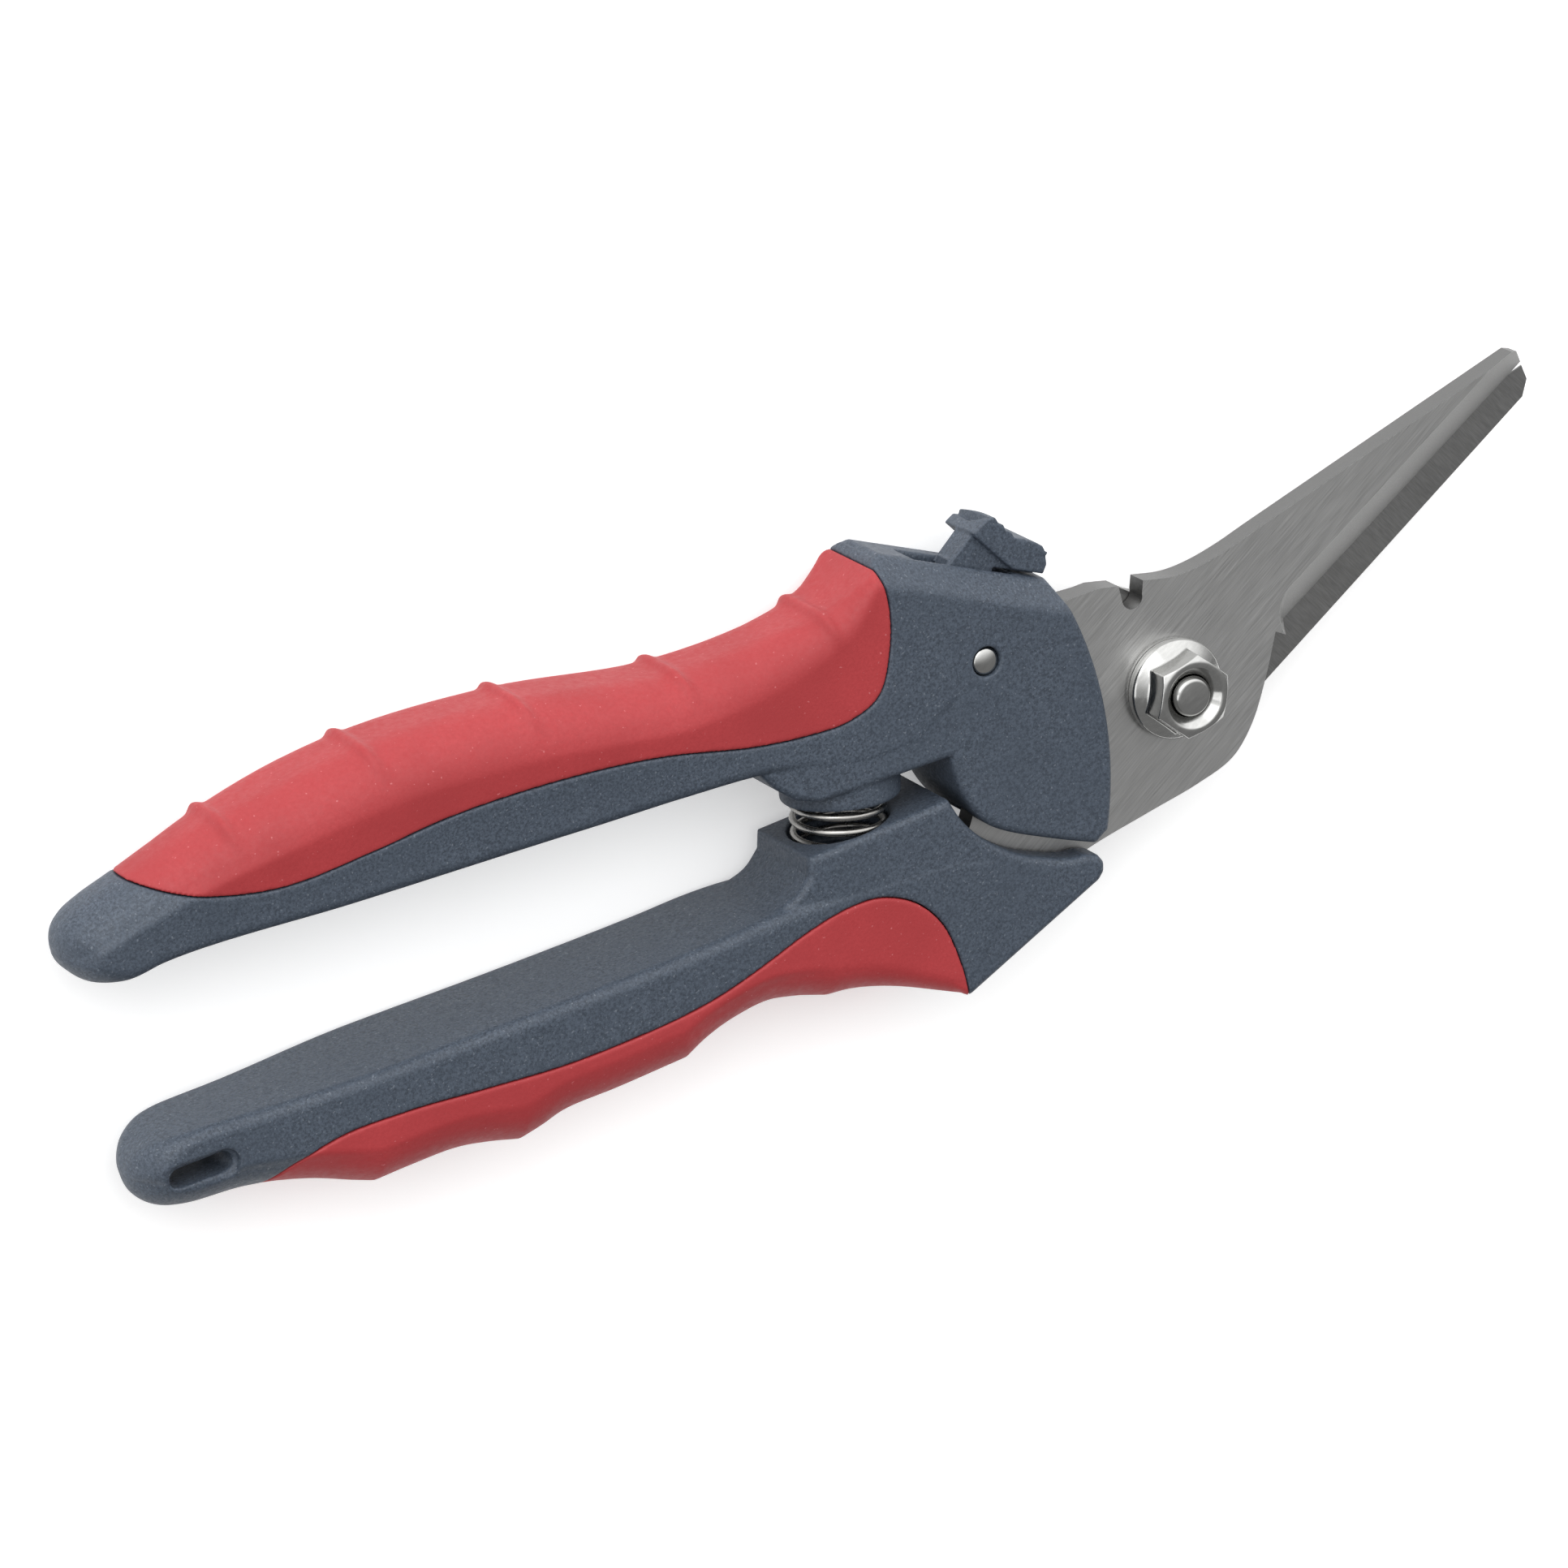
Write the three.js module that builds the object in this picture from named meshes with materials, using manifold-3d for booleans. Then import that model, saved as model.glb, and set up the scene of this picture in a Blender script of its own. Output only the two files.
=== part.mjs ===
// Bypass pruning snips, 195 mm long, lying on their back with the pivot axis upright.
// Millimetres, +Z up. +X runs from the handle tails to the blade tips, and +Y towards the upper handle.
// The rest face is Z = 0. Outlines are drawn in one XY plan; at the end the whole group is shifted
// so that the origin is the centre of the bounding box's bottom.
// The upper handle, the back blade and the pivot bolt are fixed together. The lower handle carries the
// front blade and swings about the pivot, and the lock lever swings about its own pin.

import * as THREE from 'three';
import { mergeVertices } from 'three/addons/utils/BufferGeometryUtils.js';
import Module from 'manifold-3d';

const wasm = await Module();
wasm.setup();

// ---------------------------------------------------------------- driving dimensions
const DEG = Math.PI / 180;
const FIT = 0.15; // gap between parts that are fixed together
const RUN = 0.35; // gap round parts that move

const MID = 8.5; // height of the plane where the blades meet
const BLADE = 3; // blade thickness
const AIR = 0.05; // half of the gap between the blades
const GRIP_DEPTH = 17; // thickness of both handles at the fingers
const HEAD_DEPTH = 14; // thickness at the pivot end
const TAIL_DEPTH = 12.4; // thickness near the tail
const FRONT = [MID + AIR, MID + AIR + BLADE]; // heights of the front blade
const BACK = [MID - AIR - BLADE, MID - AIR]; // heights of the back blade
const HEAD = [MID - HEAD_DEPTH / 2, MID + HEAD_DEPTH / 2];
const SLOT = [FRONT[0] - RUN, FRONT[1] + RUN]; // slot in the upper head, for the front blade

const PIVOT = [-2.4, 2.4];
const STUD_R = 2.45; // threaded end of the pivot bolt
const SHANK_R = 3.1; // plain shank of the pivot bolt
const BUSH_R = 4; // outside of the pivot bush
const FLANGE_R = 6; // nut flange, washers and bolt head
const NUT_FLATS = 8.8;
const NUT_TOP = 17;
const WASHER = 0.45;

const LOCK_AT = [-26.3, 16.9]; // lock pin
const LOCK_PIN_R = 1.65;
const LOCK_HUB_R = 3.3;
const LOCK_TRAVEL = 14; // degrees
const STEM = [MID - 0.5, MID + 3.2]; // heights of the lock's stem
const CAP = [MID - 3.5, MID + 4.1]; // heights of the lock's thumb piece
const SLOPE = -30.3; // direction of the head's top, in degrees
const SLOPE_AT = [-26.2, 28.6]; // where the lock's stem leaves that top
const CHAMFER = 3;

const SPRING_X = -46.3; // axis of the return spring, along Y
const SPRING_R = 5.3; // radius to the middle of the wire
const WIRE_R = 0.4;
const SPRING_Y = [-0.7, 10.6]; // middle of the wire at both ends
const SPRING_TURNS = 6;
const SPRING_START = -162; // where the wire's lower end lies round the axis, in degrees
const CUP_X = -45.2;
const CUP_R = 6.9; // the cup under the upper handle
const CUP_Y = 5.8;

const RIDGE_HEIGHT = 0.7;
const RIDGE_WIDTH = 1.3;
const UPPER_RIDGES = [-119.6, -101.3, -82.1, -62.7, -43.8];
const LOWER_RIDGES = [-114.6, -96.4, -74, -55.3];
const STATIONS = 30; // cross-sections along each handle
const TAIL_END = -140.9;
const HANG_SLOT_R = 1.7; // half the width of the slot at the lower handle's tail
const SKIN = 2.4; // thickness of the soft grips
const OUTER_ROUND = 6.5; // corners of the handles' cross-sections
const INNER_ROUND = 2.2;

// ---------------------------------------------------------------- materials
const material = (color, roughness, metalness) =>
  new THREE.MeshStandardMaterial({ color, roughness, metalness });
const NYLON = material(0x49535f, 0.62, 0);
const RUBBER = material(0xb93c44, 0.68, 0);
const BLADE_STEEL = material(0x8a8a88, 0.38, 1);
const BRIGHT_STEEL = material(0xb9b9b6, 0.22, 1);
const SPRING_STEEL = material(0x9c9a95, 0.28, 1);
const BRONZE = material(0x9a7444, 0.4, 1);

// ---------------------------------------------------------------- making and combining solids
const solid = (geometry) => {
  const bare = geometry.clone();
  bare.deleteAttribute('normal');
  bare.deleteAttribute('uv');
  const closed = mergeVertices(bare, 1e-5);
  const vertProperties = new Float32Array(closed.attributes.position.array);
  const triVerts = new Uint32Array(closed.index.array);
  return new wasm.Manifold(new wasm.Mesh({ numProp: 3, vertProperties, triVerts }));
};

const toGeometry = (body) => {
  const { numProp, vertProperties, triVerts } = body.getMesh();
  const points = [];
  for (let i = 0; i < vertProperties.length; i += numProp) {
    points.push(vertProperties[i], vertProperties[i + 1], vertProperties[i + 2]);
  }
  const indexed = new THREE.BufferGeometry();
  indexed.setAttribute('position', new THREE.Float32BufferAttribute(points, 3));
  indexed.setIndex([...triVerts]);
  const faceted = indexed.toNonIndexed();
  faceted.computeVertexNormals();
  return faceted;
};

const vec = ([x, y]) => new THREE.Vector2(x, y);
const line = (...points) => points.map(vec);
const curve = (points, count) => new THREE.SplineCurve(points.map(vec)).getPoints(count);

const polar = ([x, y], radius, degrees) => [
  x + radius * Math.cos(degrees * DEG),
  y + radius * Math.sin(degrees * DEG),
];

const arc = (centre, radius, from, to, count) => {
  const step = (to - from) / count;
  return Array.from({ length: count + 1 }, (_, i) => vec(polar(centre, radius, from + step * i)));
};

// A plate cut to an outline in plan, from one height to another. rim rounds its edges.
const plate = (outline, [from, to], rim = 0) => {
  const geometry = new THREE.ExtrudeGeometry(new THREE.Shape(outline), {
    depth: to - from - 2 * rim,
    bevelEnabled: rim > 0,
    bevelThickness: rim,
    bevelSize: rim,
    bevelOffset: -rim,
    bevelSegments: 2,
  });
  geometry.translate(0, 0, from + rim);
  return solid(geometry);
};

// A bar of any section, run for a length from a point, with its section's two directions given.
const bar = (section, length, at, across, up) => {
  const geometry = new THREE.ExtrudeGeometry(new THREE.Shape(line(...section)), {
    depth: length,
    bevelEnabled: false,
  });
  const along = new THREE.Vector3().crossVectors(across, up);
  geometry.applyMatrix4(new THREE.Matrix4().makeBasis(across, up, along));
  geometry.translate(...at);
  return solid(geometry);
};

// Round bodies: an upright post, a post along Y, and an upright turned profile of
// [radius, height] points.
const post = ([x, y], radius, [from, to], sides = 36) => {
  const geometry = new THREE.CylinderGeometry(radius, radius, to - from, sides);
  geometry.rotateX(90 * DEG);
  geometry.translate(x, y, (from + to) / 2);
  return solid(geometry);
};

const postAlongY = (x, radius, [from, to], sides = 36) => {
  const geometry = new THREE.CylinderGeometry(radius, radius, to - from, sides);
  geometry.translate(x, (from + to) / 2, MID);
  return solid(geometry);
};

const turned = ([x, y], profile, sides = 36) => {
  const geometry = new THREE.LatheGeometry(profile.map(vec), sides);
  geometry.rotateX(90 * DEG);
  geometry.translate(x, y, 0);
  return solid(geometry);
};

const ring = (at, inner, outer, heights, sides = 36) =>
  post(at, outer, heights, sides).subtract(post(at, inner, [heights[0] - 1, heights[1] + 1], sides));

// An outline moved outwards by a gap, to cut the pocket that holds what it outlines.
const swollen = (outline, gap) => {
  const side = THREE.ShapeUtils.isClockWise(outline) ? -gap : gap;
  return outline.map((point, i) => {
    const before = point.clone().sub(outline.at(i - 1)).normalize();
    const after = outline[(i + 1) % outline.length].clone().sub(point).normalize();
    const shift = before.add(after).normalize();
    const reach = side / Math.max(0.5, shift.dot(after));
    return new THREE.Vector2(point.x + shift.y * reach, point.y - shift.x * reach);
  });
};

const pocket = (outline, [from, to]) => plate(swollen(outline, FIT), [from - FIT, to + FIT]);

const turnedAbout = (body, [x, y], degrees) =>
  body.translate([-x, -y, 0]).rotate([0, 0, degrees]).translate([x, y, 0]);

// A skin stretched over closed rings of points, with a flat cap on the first and the last.
const loft = (rings) => {
  const count = rings[0].length;
  const index = [];
  for (let i = 0; i + 1 < rings.length; i += 1) {
    for (let k = 0; k < count; k += 1) {
      const [a, b] = [i * count + k, i * count + ((k + 1) % count)];
      index.push(a, b, b + count, a, b + count, a + count);
    }
  }
  const last = (rings.length - 1) * count;
  for (let k = 1; k + 1 < count; k += 1) {
    index.push(0, k + 1, k, last, last + k, last + k + 1);
  }
  const geometry = new THREE.BufferGeometry().setFromPoints(rings.flat());
  geometry.setIndex(index);
  return solid(geometry);
};

// ---------------------------------------------------------------- handle envelopes
// Point on the head's sloping top, u along it towards the blades and v out of it.
const onSlope = (u, v) => polar(polar(SLOPE_AT, u, SLOPE), v, SLOPE + 90);

// A value against X, through [x, value] points: a smooth curve, or straight from point to point.
const profile = (points, Interpolant = THREE.CubicInterpolant) => {
  const fit = new Interpolant(points.map(([x]) => x), points.map(([, y]) => y), 1);
  return (x) => fit.evaluate(x)[0];
};

// Half the thickness of a handle, against X: thick at the fingers, thinner at the tail and the head.
const halfDepth = profile(
  [
    [TAIL_END, TAIL_DEPTH / 2 - 2.4],
    [TAIL_END + 1.4, TAIL_DEPTH / 2 - 0.9],
    [TAIL_END + 5, TAIL_DEPTH / 2],
    [-116, GRIP_DEPTH / 2],
    [-66, GRIP_DEPTH / 2],
    [-50, HEAD_DEPTH / 2],
    [0, HEAD_DEPTH / 2],
  ],
  THREE.LinearInterpolant,
);

// The cross-section of a handle at x: a rectangle whose outer corners are rounder than its inner ones.
const section = (x, outer, inner) => {
  const width = (outer - inner) / 2;
  const out = Math.sign(width);
  const half = { y: Math.abs(width), z: halfDepth(x) };
  const corner = (yside, zside, from, radius) => {
    const r = Math.min(radius, half.y * 0.85, half.z * 0.85);
    return arc([yside * (half.y - r), zside * (half.z - r)], r, from, from + 90, 3);
  };
  const points = [
    ...corner(1, -1, -90, OUTER_ROUND),
    ...corner(1, 1, 0, OUTER_ROUND),
    ...corner(-1, 1, 90, INNER_ROUND),
    ...corner(-1, -1, 180, INNER_ROUND),
  ];
  return points.map((p) => new THREE.Vector3(x, (outer + inner) / 2 + out * p.x, MID + p.y));
};

// A handle's long bar. Its outer edge carries small cross ridges for the fingers.
const handleBar = (outer, inner, end, ridges, height) => {
  const tail = [TAIL_END, TAIL_END + 0.5, TAIL_END + 1.4, TAIL_END + 2.9];
  const gap = (end - TAIL_END - 5) / (STATIONS - 1);
  const body = Array.from({ length: STATIONS }, (_, i) => TAIL_END + 5 + gap * i);
  const humps = ridges.flatMap((at) => [at - RIDGE_WIDTH, at, at + RIDGE_WIDTH]);
  const lift = (x) => Math.max(0, ...ridges.map((at) => 1 - Math.abs(x - at) / RIDGE_WIDTH));
  const stations = [...tail, ...body, ...humps].sort((p, q) => (p - q) * height);
  return loft(stations.map((x) => section(x, outer(x) + height * lift(x), inner(x))));
};

const upperBar = () => {
  const outer = profile([
    [TAIL_END, 29.9],
    [-139, 32.1],
    [-136, 33.3],
    [-132, 33.8],
    [-120, 36.1],
    [-101, 37.3],
    [-82, 34.9],
    [-63, 30.1],
    [-50, 29.3],
    [-43.5, 29.7],
    [-38.5, 31.9],
  ]);
  const inner = profile([
    [TAIL_END, 27.2],
    [-139, 25.1],
    [-136, 24.2],
    [-120, 23.4],
    [-101.9, 21.4],
    [-80, 18.6],
    [-57.5, 15.5],
    [-50, 13],
    [-44, 11],
    [-37, 10.5],
  ]);
  return handleBar(outer, inner, -38.5, UPPER_RIDGES, RIDGE_HEIGHT);
};

const upperHeadOutline = () => [
  ...line([-50, 24], [-44, 29.5], [-38.8, 31.8], [-36.4, 33.6], [-35.2, 33.9], onSlope(12.5, 0)),
  ...arc([-57.4, 8.1], 44.5, 17, -23, 12),
  ...curve([
    [-18.4, -10.3], [-23.5, -7.5], [-29.3, -3.9], [-31.4, -1.9],
    [-33, 1.1], [-33.8, 4.2], [-34, 7.6],
  ], 12),
  ...line([-50.8, 9.2], [-53.4, 11], [-56.5, 15.6]),
];

const lowerBar = () => {
  const outer = profile([
    [TAIL_END, -1],
    [-139.6, -3.5],
    [-136, -5.8],
    [-129, -7.6],
    [-121, -9],
    [-114.6, -11.4],
    [-106, -12.7],
    [-96.4, -14.6],
    [-86, -14.2],
    [-74, -14.1],
    [-64, -12.6],
    [-55.3, -14.4],
    [-48, -17],
    [-39.4, -21.1],
  ]);
  const inner = profile([
    [TAIL_END, 0.9],
    [-139.6, 2.7],
    [-137.5, 3.6],
    [-134, 3.7],
    [-123.5, 3],
    [-107, 1.8],
    [-90, 0.3],
    [-72, -0.9],
    [-61, -1.2],
    [-52, -2],
    [-36, -4],
  ]);
  return handleBar(outer, inner, -39.4, LOWER_RIDGES, -RIDGE_HEIGHT);
};

const lowerHeadOutline = () => [
  ...line([-39.2, -21.2], [-19.3, -14.6], [-18.3, -13.1]),
  ...curve([
    [-20, -11.4], [-22, -10.9], [-27.8, -7.7], [-30.6, -5.3],
    [-32.6, -2.8], [-34, 0.1], [-34.6, 2.8],
  ], 12),
  ...line([-53.9, 3.4]),
  ...curve([[-54.6, 1.2], [-56.8, -0.4], [-61, -1.3]], 5),
  ...line([-60.5, -6], [-50, -10]),
];

// The wide chamfers along both rims of the head's sloping top.
const topChamfers = () => {
  const out = new THREE.Vector3(...polar([0, 0], 1, SLOPE + 90), 0);
  const start = onSlope(26, 0);
  const cut = (z, side) => {
    const wedge = [
      [-side * (CHAMFER + 2), 2],
      [side * 2, -CHAMFER - 2],
      [side * 2, 2],
    ];
    return bar(wedge, 40, [...start, z], new THREE.Vector3(0, 0, 1), out);
  };
  return cut(HEAD[1], 1).add(cut(HEAD[0], -1));
};

const upperEnvelope = () => upperBar().add(plate(upperHeadOutline(), HEAD, 0.6)).subtract(topChamfers());

const lowerEnvelope = () => lowerBar().add(plate(lowerHeadOutline(), HEAD, 0.6));

// ---------------------------------------------------------------- soft grips
const ALL = [-5, 30];

const upperGripArea = () => [
  ...line([-133.5, 50], [-133.3, 35]),
  ...curve(
    [
      [-132.3, 34],
      [-126, 30.4],
      [-116.8, 27.6],
      [-105, 27.2],
      [-94, 27.2],
      [-79.8, 25.6],
      [-67.7, 23],
      [-57, 19.3],
      [-49.9, 17.6],
      [-44.6, 17.2],
      [-40.4, 18.6],
      [-37.6, 23.4],
      [-36.3, 28.7],
      [-36.5, 34],
    ],
    34,
  ),
  ...line([-38, 50]),
];

const lowerGripArea = () => [
  ...line([-38.9, -30]),
  ...curve(
    [
      [-38.9, -21.6],
      [-39.1, -15.7],
      [-40.1, -11],
      [-42.6, -7.3],
      [-46.5, -4.9],
      [-50.5, -4.3],
      [-57, -4.7],
      [-64, -5.9],
      [-70.5, -7],
      [-77, -7.3],
      [-89.6, -6.7],
      [-99.8, -5.2],
      [-109.9, -3.6],
      [-118, -3.3],
      [-124, -4.8],
      [-129.2, -8.4],
    ],
    40,
  ),
  ...line([-131, -30]),
];

// The hard core runs on under the grip as a rib, which the grip wraps.
const RIB = { from: -128, to: -42, half: 4.2 };
const ribbed = (envelope, area, towards) => {
  const rib = (gap) => {
    const inside = envelope.translate([0, -towards * (SKIN - gap), 0]).intersect(envelope);
    const [from, to] = [RIB.from - gap, RIB.to + gap];
    const band = line([from, -50], [to, -50], [to, 50], [from, 50]);
    return inside.intersect(plate(band, [MID - RIB.half - gap, MID + RIB.half + gap]));
  };
  const grip = envelope.intersect(plate(area, ALL)).subtract(rib(FIT));
  const core = envelope.subtract(plate(swollen(area, FIT), ALL)).add(rib(0));
  return { grip, core };
};

// ---------------------------------------------------------------- blades
const SPINE_AT_TIP = [51.6, 23.5];
const FRONT_EDGE = { heel: [13.6, 2.4], tip: [53.6, 20.9], width: 4.1 };
const BACK_EDGE = { heel: [13.4, 12.2], tip: [53.8, 20.3], width: 4.1 };
const LAND = 0.2; // the flat left on a ground edge

// Grinds a plate from its edge line up to its outer face. side is 1 for a front blade and
// -1 for a back blade.
const ground = (blade, { heel, tip, width }, inner, side) => {
  const along = new THREE.Vector3(tip[0] - heel[0], tip[1] - heel[1], 0);
  const length = along.length() + 8;
  along.normalize();
  const up = new THREE.Vector3(0, 0, side);
  const across = new THREE.Vector3().crossVectors(up, along);
  const rise = (BLADE - LAND) / width;
  const section = [
    [-2, LAND - 2 * rise],
    [width + 2, BLADE + 2 * rise],
    [-2, BLADE + 2 * rise],
  ];
  return blade.subtract(bar(section, length, [...heel, inner], across, up));
};

// Hidden rear edge of the front blade, from the lower handle up to the shoulder.
const REAR_FOOT = [-31.8, -3];
const SHOULDER = [-17.6, 18.5];

// The front blade's rounded lower edge, from the lower handle to the heel of its cutting edge.
const BELLY = [
  [-22.5, -13.4],
  [-18, -12.2],
  [-9, -11.2],
  [-2.1, -10.5],
  [3, -9.3],
  [6.4, -6.5],
  [9.5, -2],
  [12.4, 3.3],
];

const frontBladeOutline = () => [
  ...line([53.6, 20.9], [52.5, 23.1], SPINE_AT_TIP),
  ...curve([[13.3, 16.4], [8.6, 15.5], [4.5, 15.1], [1.1, 15.3], [-2.7, 16.4]], 8),
  ...arc([-4.6, 14.9], 1.35, 0, -180, 8),
  ...curve([[-5.95, 17], [-8.2, 17.7], [-10.5, 17.95], [-12.9, 18.1], SHOULDER], 6),
  ...line(REAR_FOOT),
  ...curve([[-33.6, -5.2], [-37, -5.6], [-52, -5.6], [-78, -5.4]], 6),
  ...curve([[-78, -9.9], [-58, -10.4], [-48, -12.4], [-38, -18], [-34, -17.6]], 8),
  ...curve(BELLY, 20),
];

// The notch that the lock's tooth drops into.
const LOCK_NOTCH = line([-30, 3.6], [-23.8, 3.6], [-23.8, 6.9], [-30, 6.9]);

const KEYS = [[-44, -9], [-66, -7.8]]; // holes that the lower handle's plastic fills
const frontBlade = () => {
  let blade = plate(frontBladeOutline(), FRONT);
  blade = blade.subtract(post(PIVOT, BUSH_R + 0.06, ALL)).subtract(plate(LOCK_NOTCH, ALL));
  for (const at of KEYS) {
    blade = blade.subtract(post(at, 1.5, ALL, 16));
  }
  return ground(blade, FRONT_EDGE, FRONT[0], 1);
};

const backBladeOutline = () => [
  ...line([53.8, 20.3], BACK_EDGE.heel),
  ...curve([[10, 11.9], [2, 12], [-1.9, 13.4], [-4.8, 15.7]], 8),
  ...line([-7.3, 16.5], [-9, 16.6], [-16, 17.6], onSlope(7, -4)),
  ...curve([onSlope(-6, -4.2), [-40, 28.4], [-48, 25.6], [-60, 26.4], [-80, 31]], 12),
  ...line([-80, 25.6]),
  ...curve([[-60, 20.4], [-44, 13.2], [-37.6, 12.2]], 6),
  ...curve([[-31.2, 9], [-28.6, 1.5], [-17, -6.4], [-8, -8.8], [0, -8.7], [6, -6.3], [11, -3.5]], 18),
  ...line([53, 16.5], [54.1, 18.4]),
];

const UPPER_KEYS = [[-45, 19.5], [-68, 25.6]];
const backBlade = () => {
  let blade = plate(backBladeOutline(), BACK);
  blade = blade.subtract(post(PIVOT, SHANK_R + 0.06, ALL)).subtract(post(LOCK_AT, LOCK_PIN_R + FIT, ALL));
  for (const at of UPPER_KEYS) {
    blade = blade.subtract(post(at, 1.5, ALL, 16));
  }
  return ground(blade, BACK_EDGE, BACK[1], -1);
};

// ---------------------------------------------------------------- lock
// Drawn as it lies at rest, with the tooth clear of the blade.
const lockLever = () => {
  const hub = post(LOCK_AT, LOCK_HUB_R, [FRONT[0], FRONT[1] - 0.1]);
  const arm = turnedAbout(
    plate(
      line([-2.9, 0], [-2.1, -13.2], [2, -12.6], [2, -10.9], [0, -10.3], [2.9, -1]).map(({ x, y }) =>
        vec([x + LOCK_AT[0], y + LOCK_AT[1]]),
      ),
      [FRONT[0], FRONT[1] - 0.1],
    ),
    LOCK_AT,
    -LOCK_TRAVEL,
  );
  const neck = plate(
    line([-29, 17.4], onSlope(0, -2), onSlope(0, 0.4), onSlope(6, 0.4), onSlope(6, -2), [-23.4, 17.6]),
    [FRONT[0], FRONT[1] - 0.1],
  );
  const webCorners = [
    [0, -0.6],
    [6, -0.6],
    [6, 0.25],
    [11.6, 0.25],
    [8.8, 1],
    [2.4, 4.2],
  ];
  const web = plate(webCorners.map(([u, v]) => vec(onSlope(u, v))), STEM);
  const cap = plate(thumbOutline(), CAP, 0.3);
  const hole = post(LOCK_AT, LOCK_PIN_R + 0.2, ALL);
  return hub.add(arm).add(neck).add(web).add(cap).subtract(hole);
};

const thumbOutline = () => {
  const steps = [
    [1.9, 4],
    [3.4, 5.9],
    [4.3, 6.1],
    [5, 5.6],
    [5.6, 5.4],
    [6.1, 4.9],
    [6.8, 4.8],
    [7.4, 4.3],
    [9, 4.2],
    [10.4, 4],
    [11.4, 3.7],
    [12.1, 2.9],
    [12.5, 1.7],
    [12.3, 0.5],
    [8.2, 0.5],
    [7.1, 1],
    [2.2, 3.6],
  ];
  return steps.map(([u, v]) => vec(onSlope(u, v)));
};

const LEAF = [
  [-34.7, 22.6],
  [-31.9, 21],
  [-30.2, 17.8],
  [-30.3, 15.6],
  [-32, 11.8],
];
const leaf = (thickness, heights) => {
  const path = curve(LEAF, 10);
  const side = path.map(({ x, y }, i) => {
    const next = path[Math.min(i + 1, path.length - 1)];
    const last = path[Math.max(i - 1, 0)];
    const along = new THREE.Vector2(next.x - last.x, next.y - last.y).normalize();
    return new THREE.Vector2(x + along.y * thickness, y - along.x * thickness);
  });
  return plate([...path, ...side.reverse()], heights);
};

const lockSpring = () => leaf(-0.4, [FRONT[0] + 0.2, FRONT[1] - 0.3]);

const pinProfile = (radius, [from, to], dome) => [
  [0, from - dome],
  [radius * 0.6, from - dome * 0.6],
  [radius, from],
  [radius, to],
  [radius * 0.6, to + dome * 0.6],
  [0, to + dome],
];

const lockPin = () => turned(LOCK_AT, pinProfile(LOCK_PIN_R, [HEAD[0] + 0.6, HEAD[1] - 0.6], 0.6));

// ---------------------------------------------------------------- pivot
const BOLT_HEAD = [1.9, BACK[0] - WASHER - 0.1];
const FRONT_FACE = FRONT[1] + 0.05;

const pivotBolt = () =>
  turned(PIVOT, [
    [0, BOLT_HEAD[0]],
    [FLANGE_R - 1.6, BOLT_HEAD[0]],
    [FLANGE_R, BOLT_HEAD[0] + 1.4],
    [FLANGE_R, BOLT_HEAD[1]],
    [SHANK_R, BOLT_HEAD[1]],
    [SHANK_R, FRONT[1] - 0.1],
    [STUD_R, FRONT[1] + 0.4],
    [STUD_R, NUT_TOP - 0.7],
    [STUD_R - 0.4, NUT_TOP - 0.2],
    [0, NUT_TOP - 0.2],
  ]);

const pivotNut = () => {
  const base = FRONT_FACE + WASHER + 0.05;
  const corner = NUT_FLATS / Math.sqrt(3);
  const hexagon = turnedAbout(post(PIVOT, corner, [base + 0.8, NUT_TOP], 6), PIVOT, 8);
  const crown = turned(PIVOT, [
    [0, base],
    [corner + 1, base],
    [corner + 1, NUT_TOP - 1.1],
    [corner - 0.75, NUT_TOP],
    [0, NUT_TOP],
  ]);
  const flange = turned(PIVOT, [
    [0, base],
    [FLANGE_R, base],
    [FLANGE_R, base + 0.7],
    [FLANGE_R - 1.3, base + 1.7],
    [0, base + 2.3],
  ]);
  const bore = turned(PIVOT, [
    [0, base - 1],
    [STUD_R + 0.1, base - 1],
    [STUD_R + 0.1, NUT_TOP - 1],
    [STUD_R + 1.15, NUT_TOP - 0.1],
    [STUD_R + 1.15, NUT_TOP + 1],
    [0, NUT_TOP + 1],
  ]);
  return hexagon.intersect(crown).add(flange).subtract(bore);
};

// ---------------------------------------------------------------- return spring
class Coil extends THREE.Curve {
  getPoint(t) {
    const turn = (SPRING_START + 360 * SPRING_TURNS * t) * DEG;
    const y = SPRING_Y[0] + (SPRING_Y[1] - SPRING_Y[0]) * t;
    return new THREE.Vector3(SPRING_X + SPRING_R * Math.cos(turn), y, MID + SPRING_R * Math.sin(turn));
  }
}

const returnSpring = () => {
  const wire = new THREE.Shape(arc([0, 0], WIRE_R, 0, 315, 7));
  return solid(
    new THREE.ExtrudeGeometry(wire, {
      steps: SPRING_TURNS * 14,
      bevelEnabled: false,
      extrudePath: new Coil(),
    }),
  );
};

// ---------------------------------------------------------------- handles
const SWEEP_R = 23.1; // room for the front blade's shoulder as it swings
const COIL_ROOM = SPRING_R + WIRE_R + RUN; // radius of the hollows that hold the spring

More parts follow.
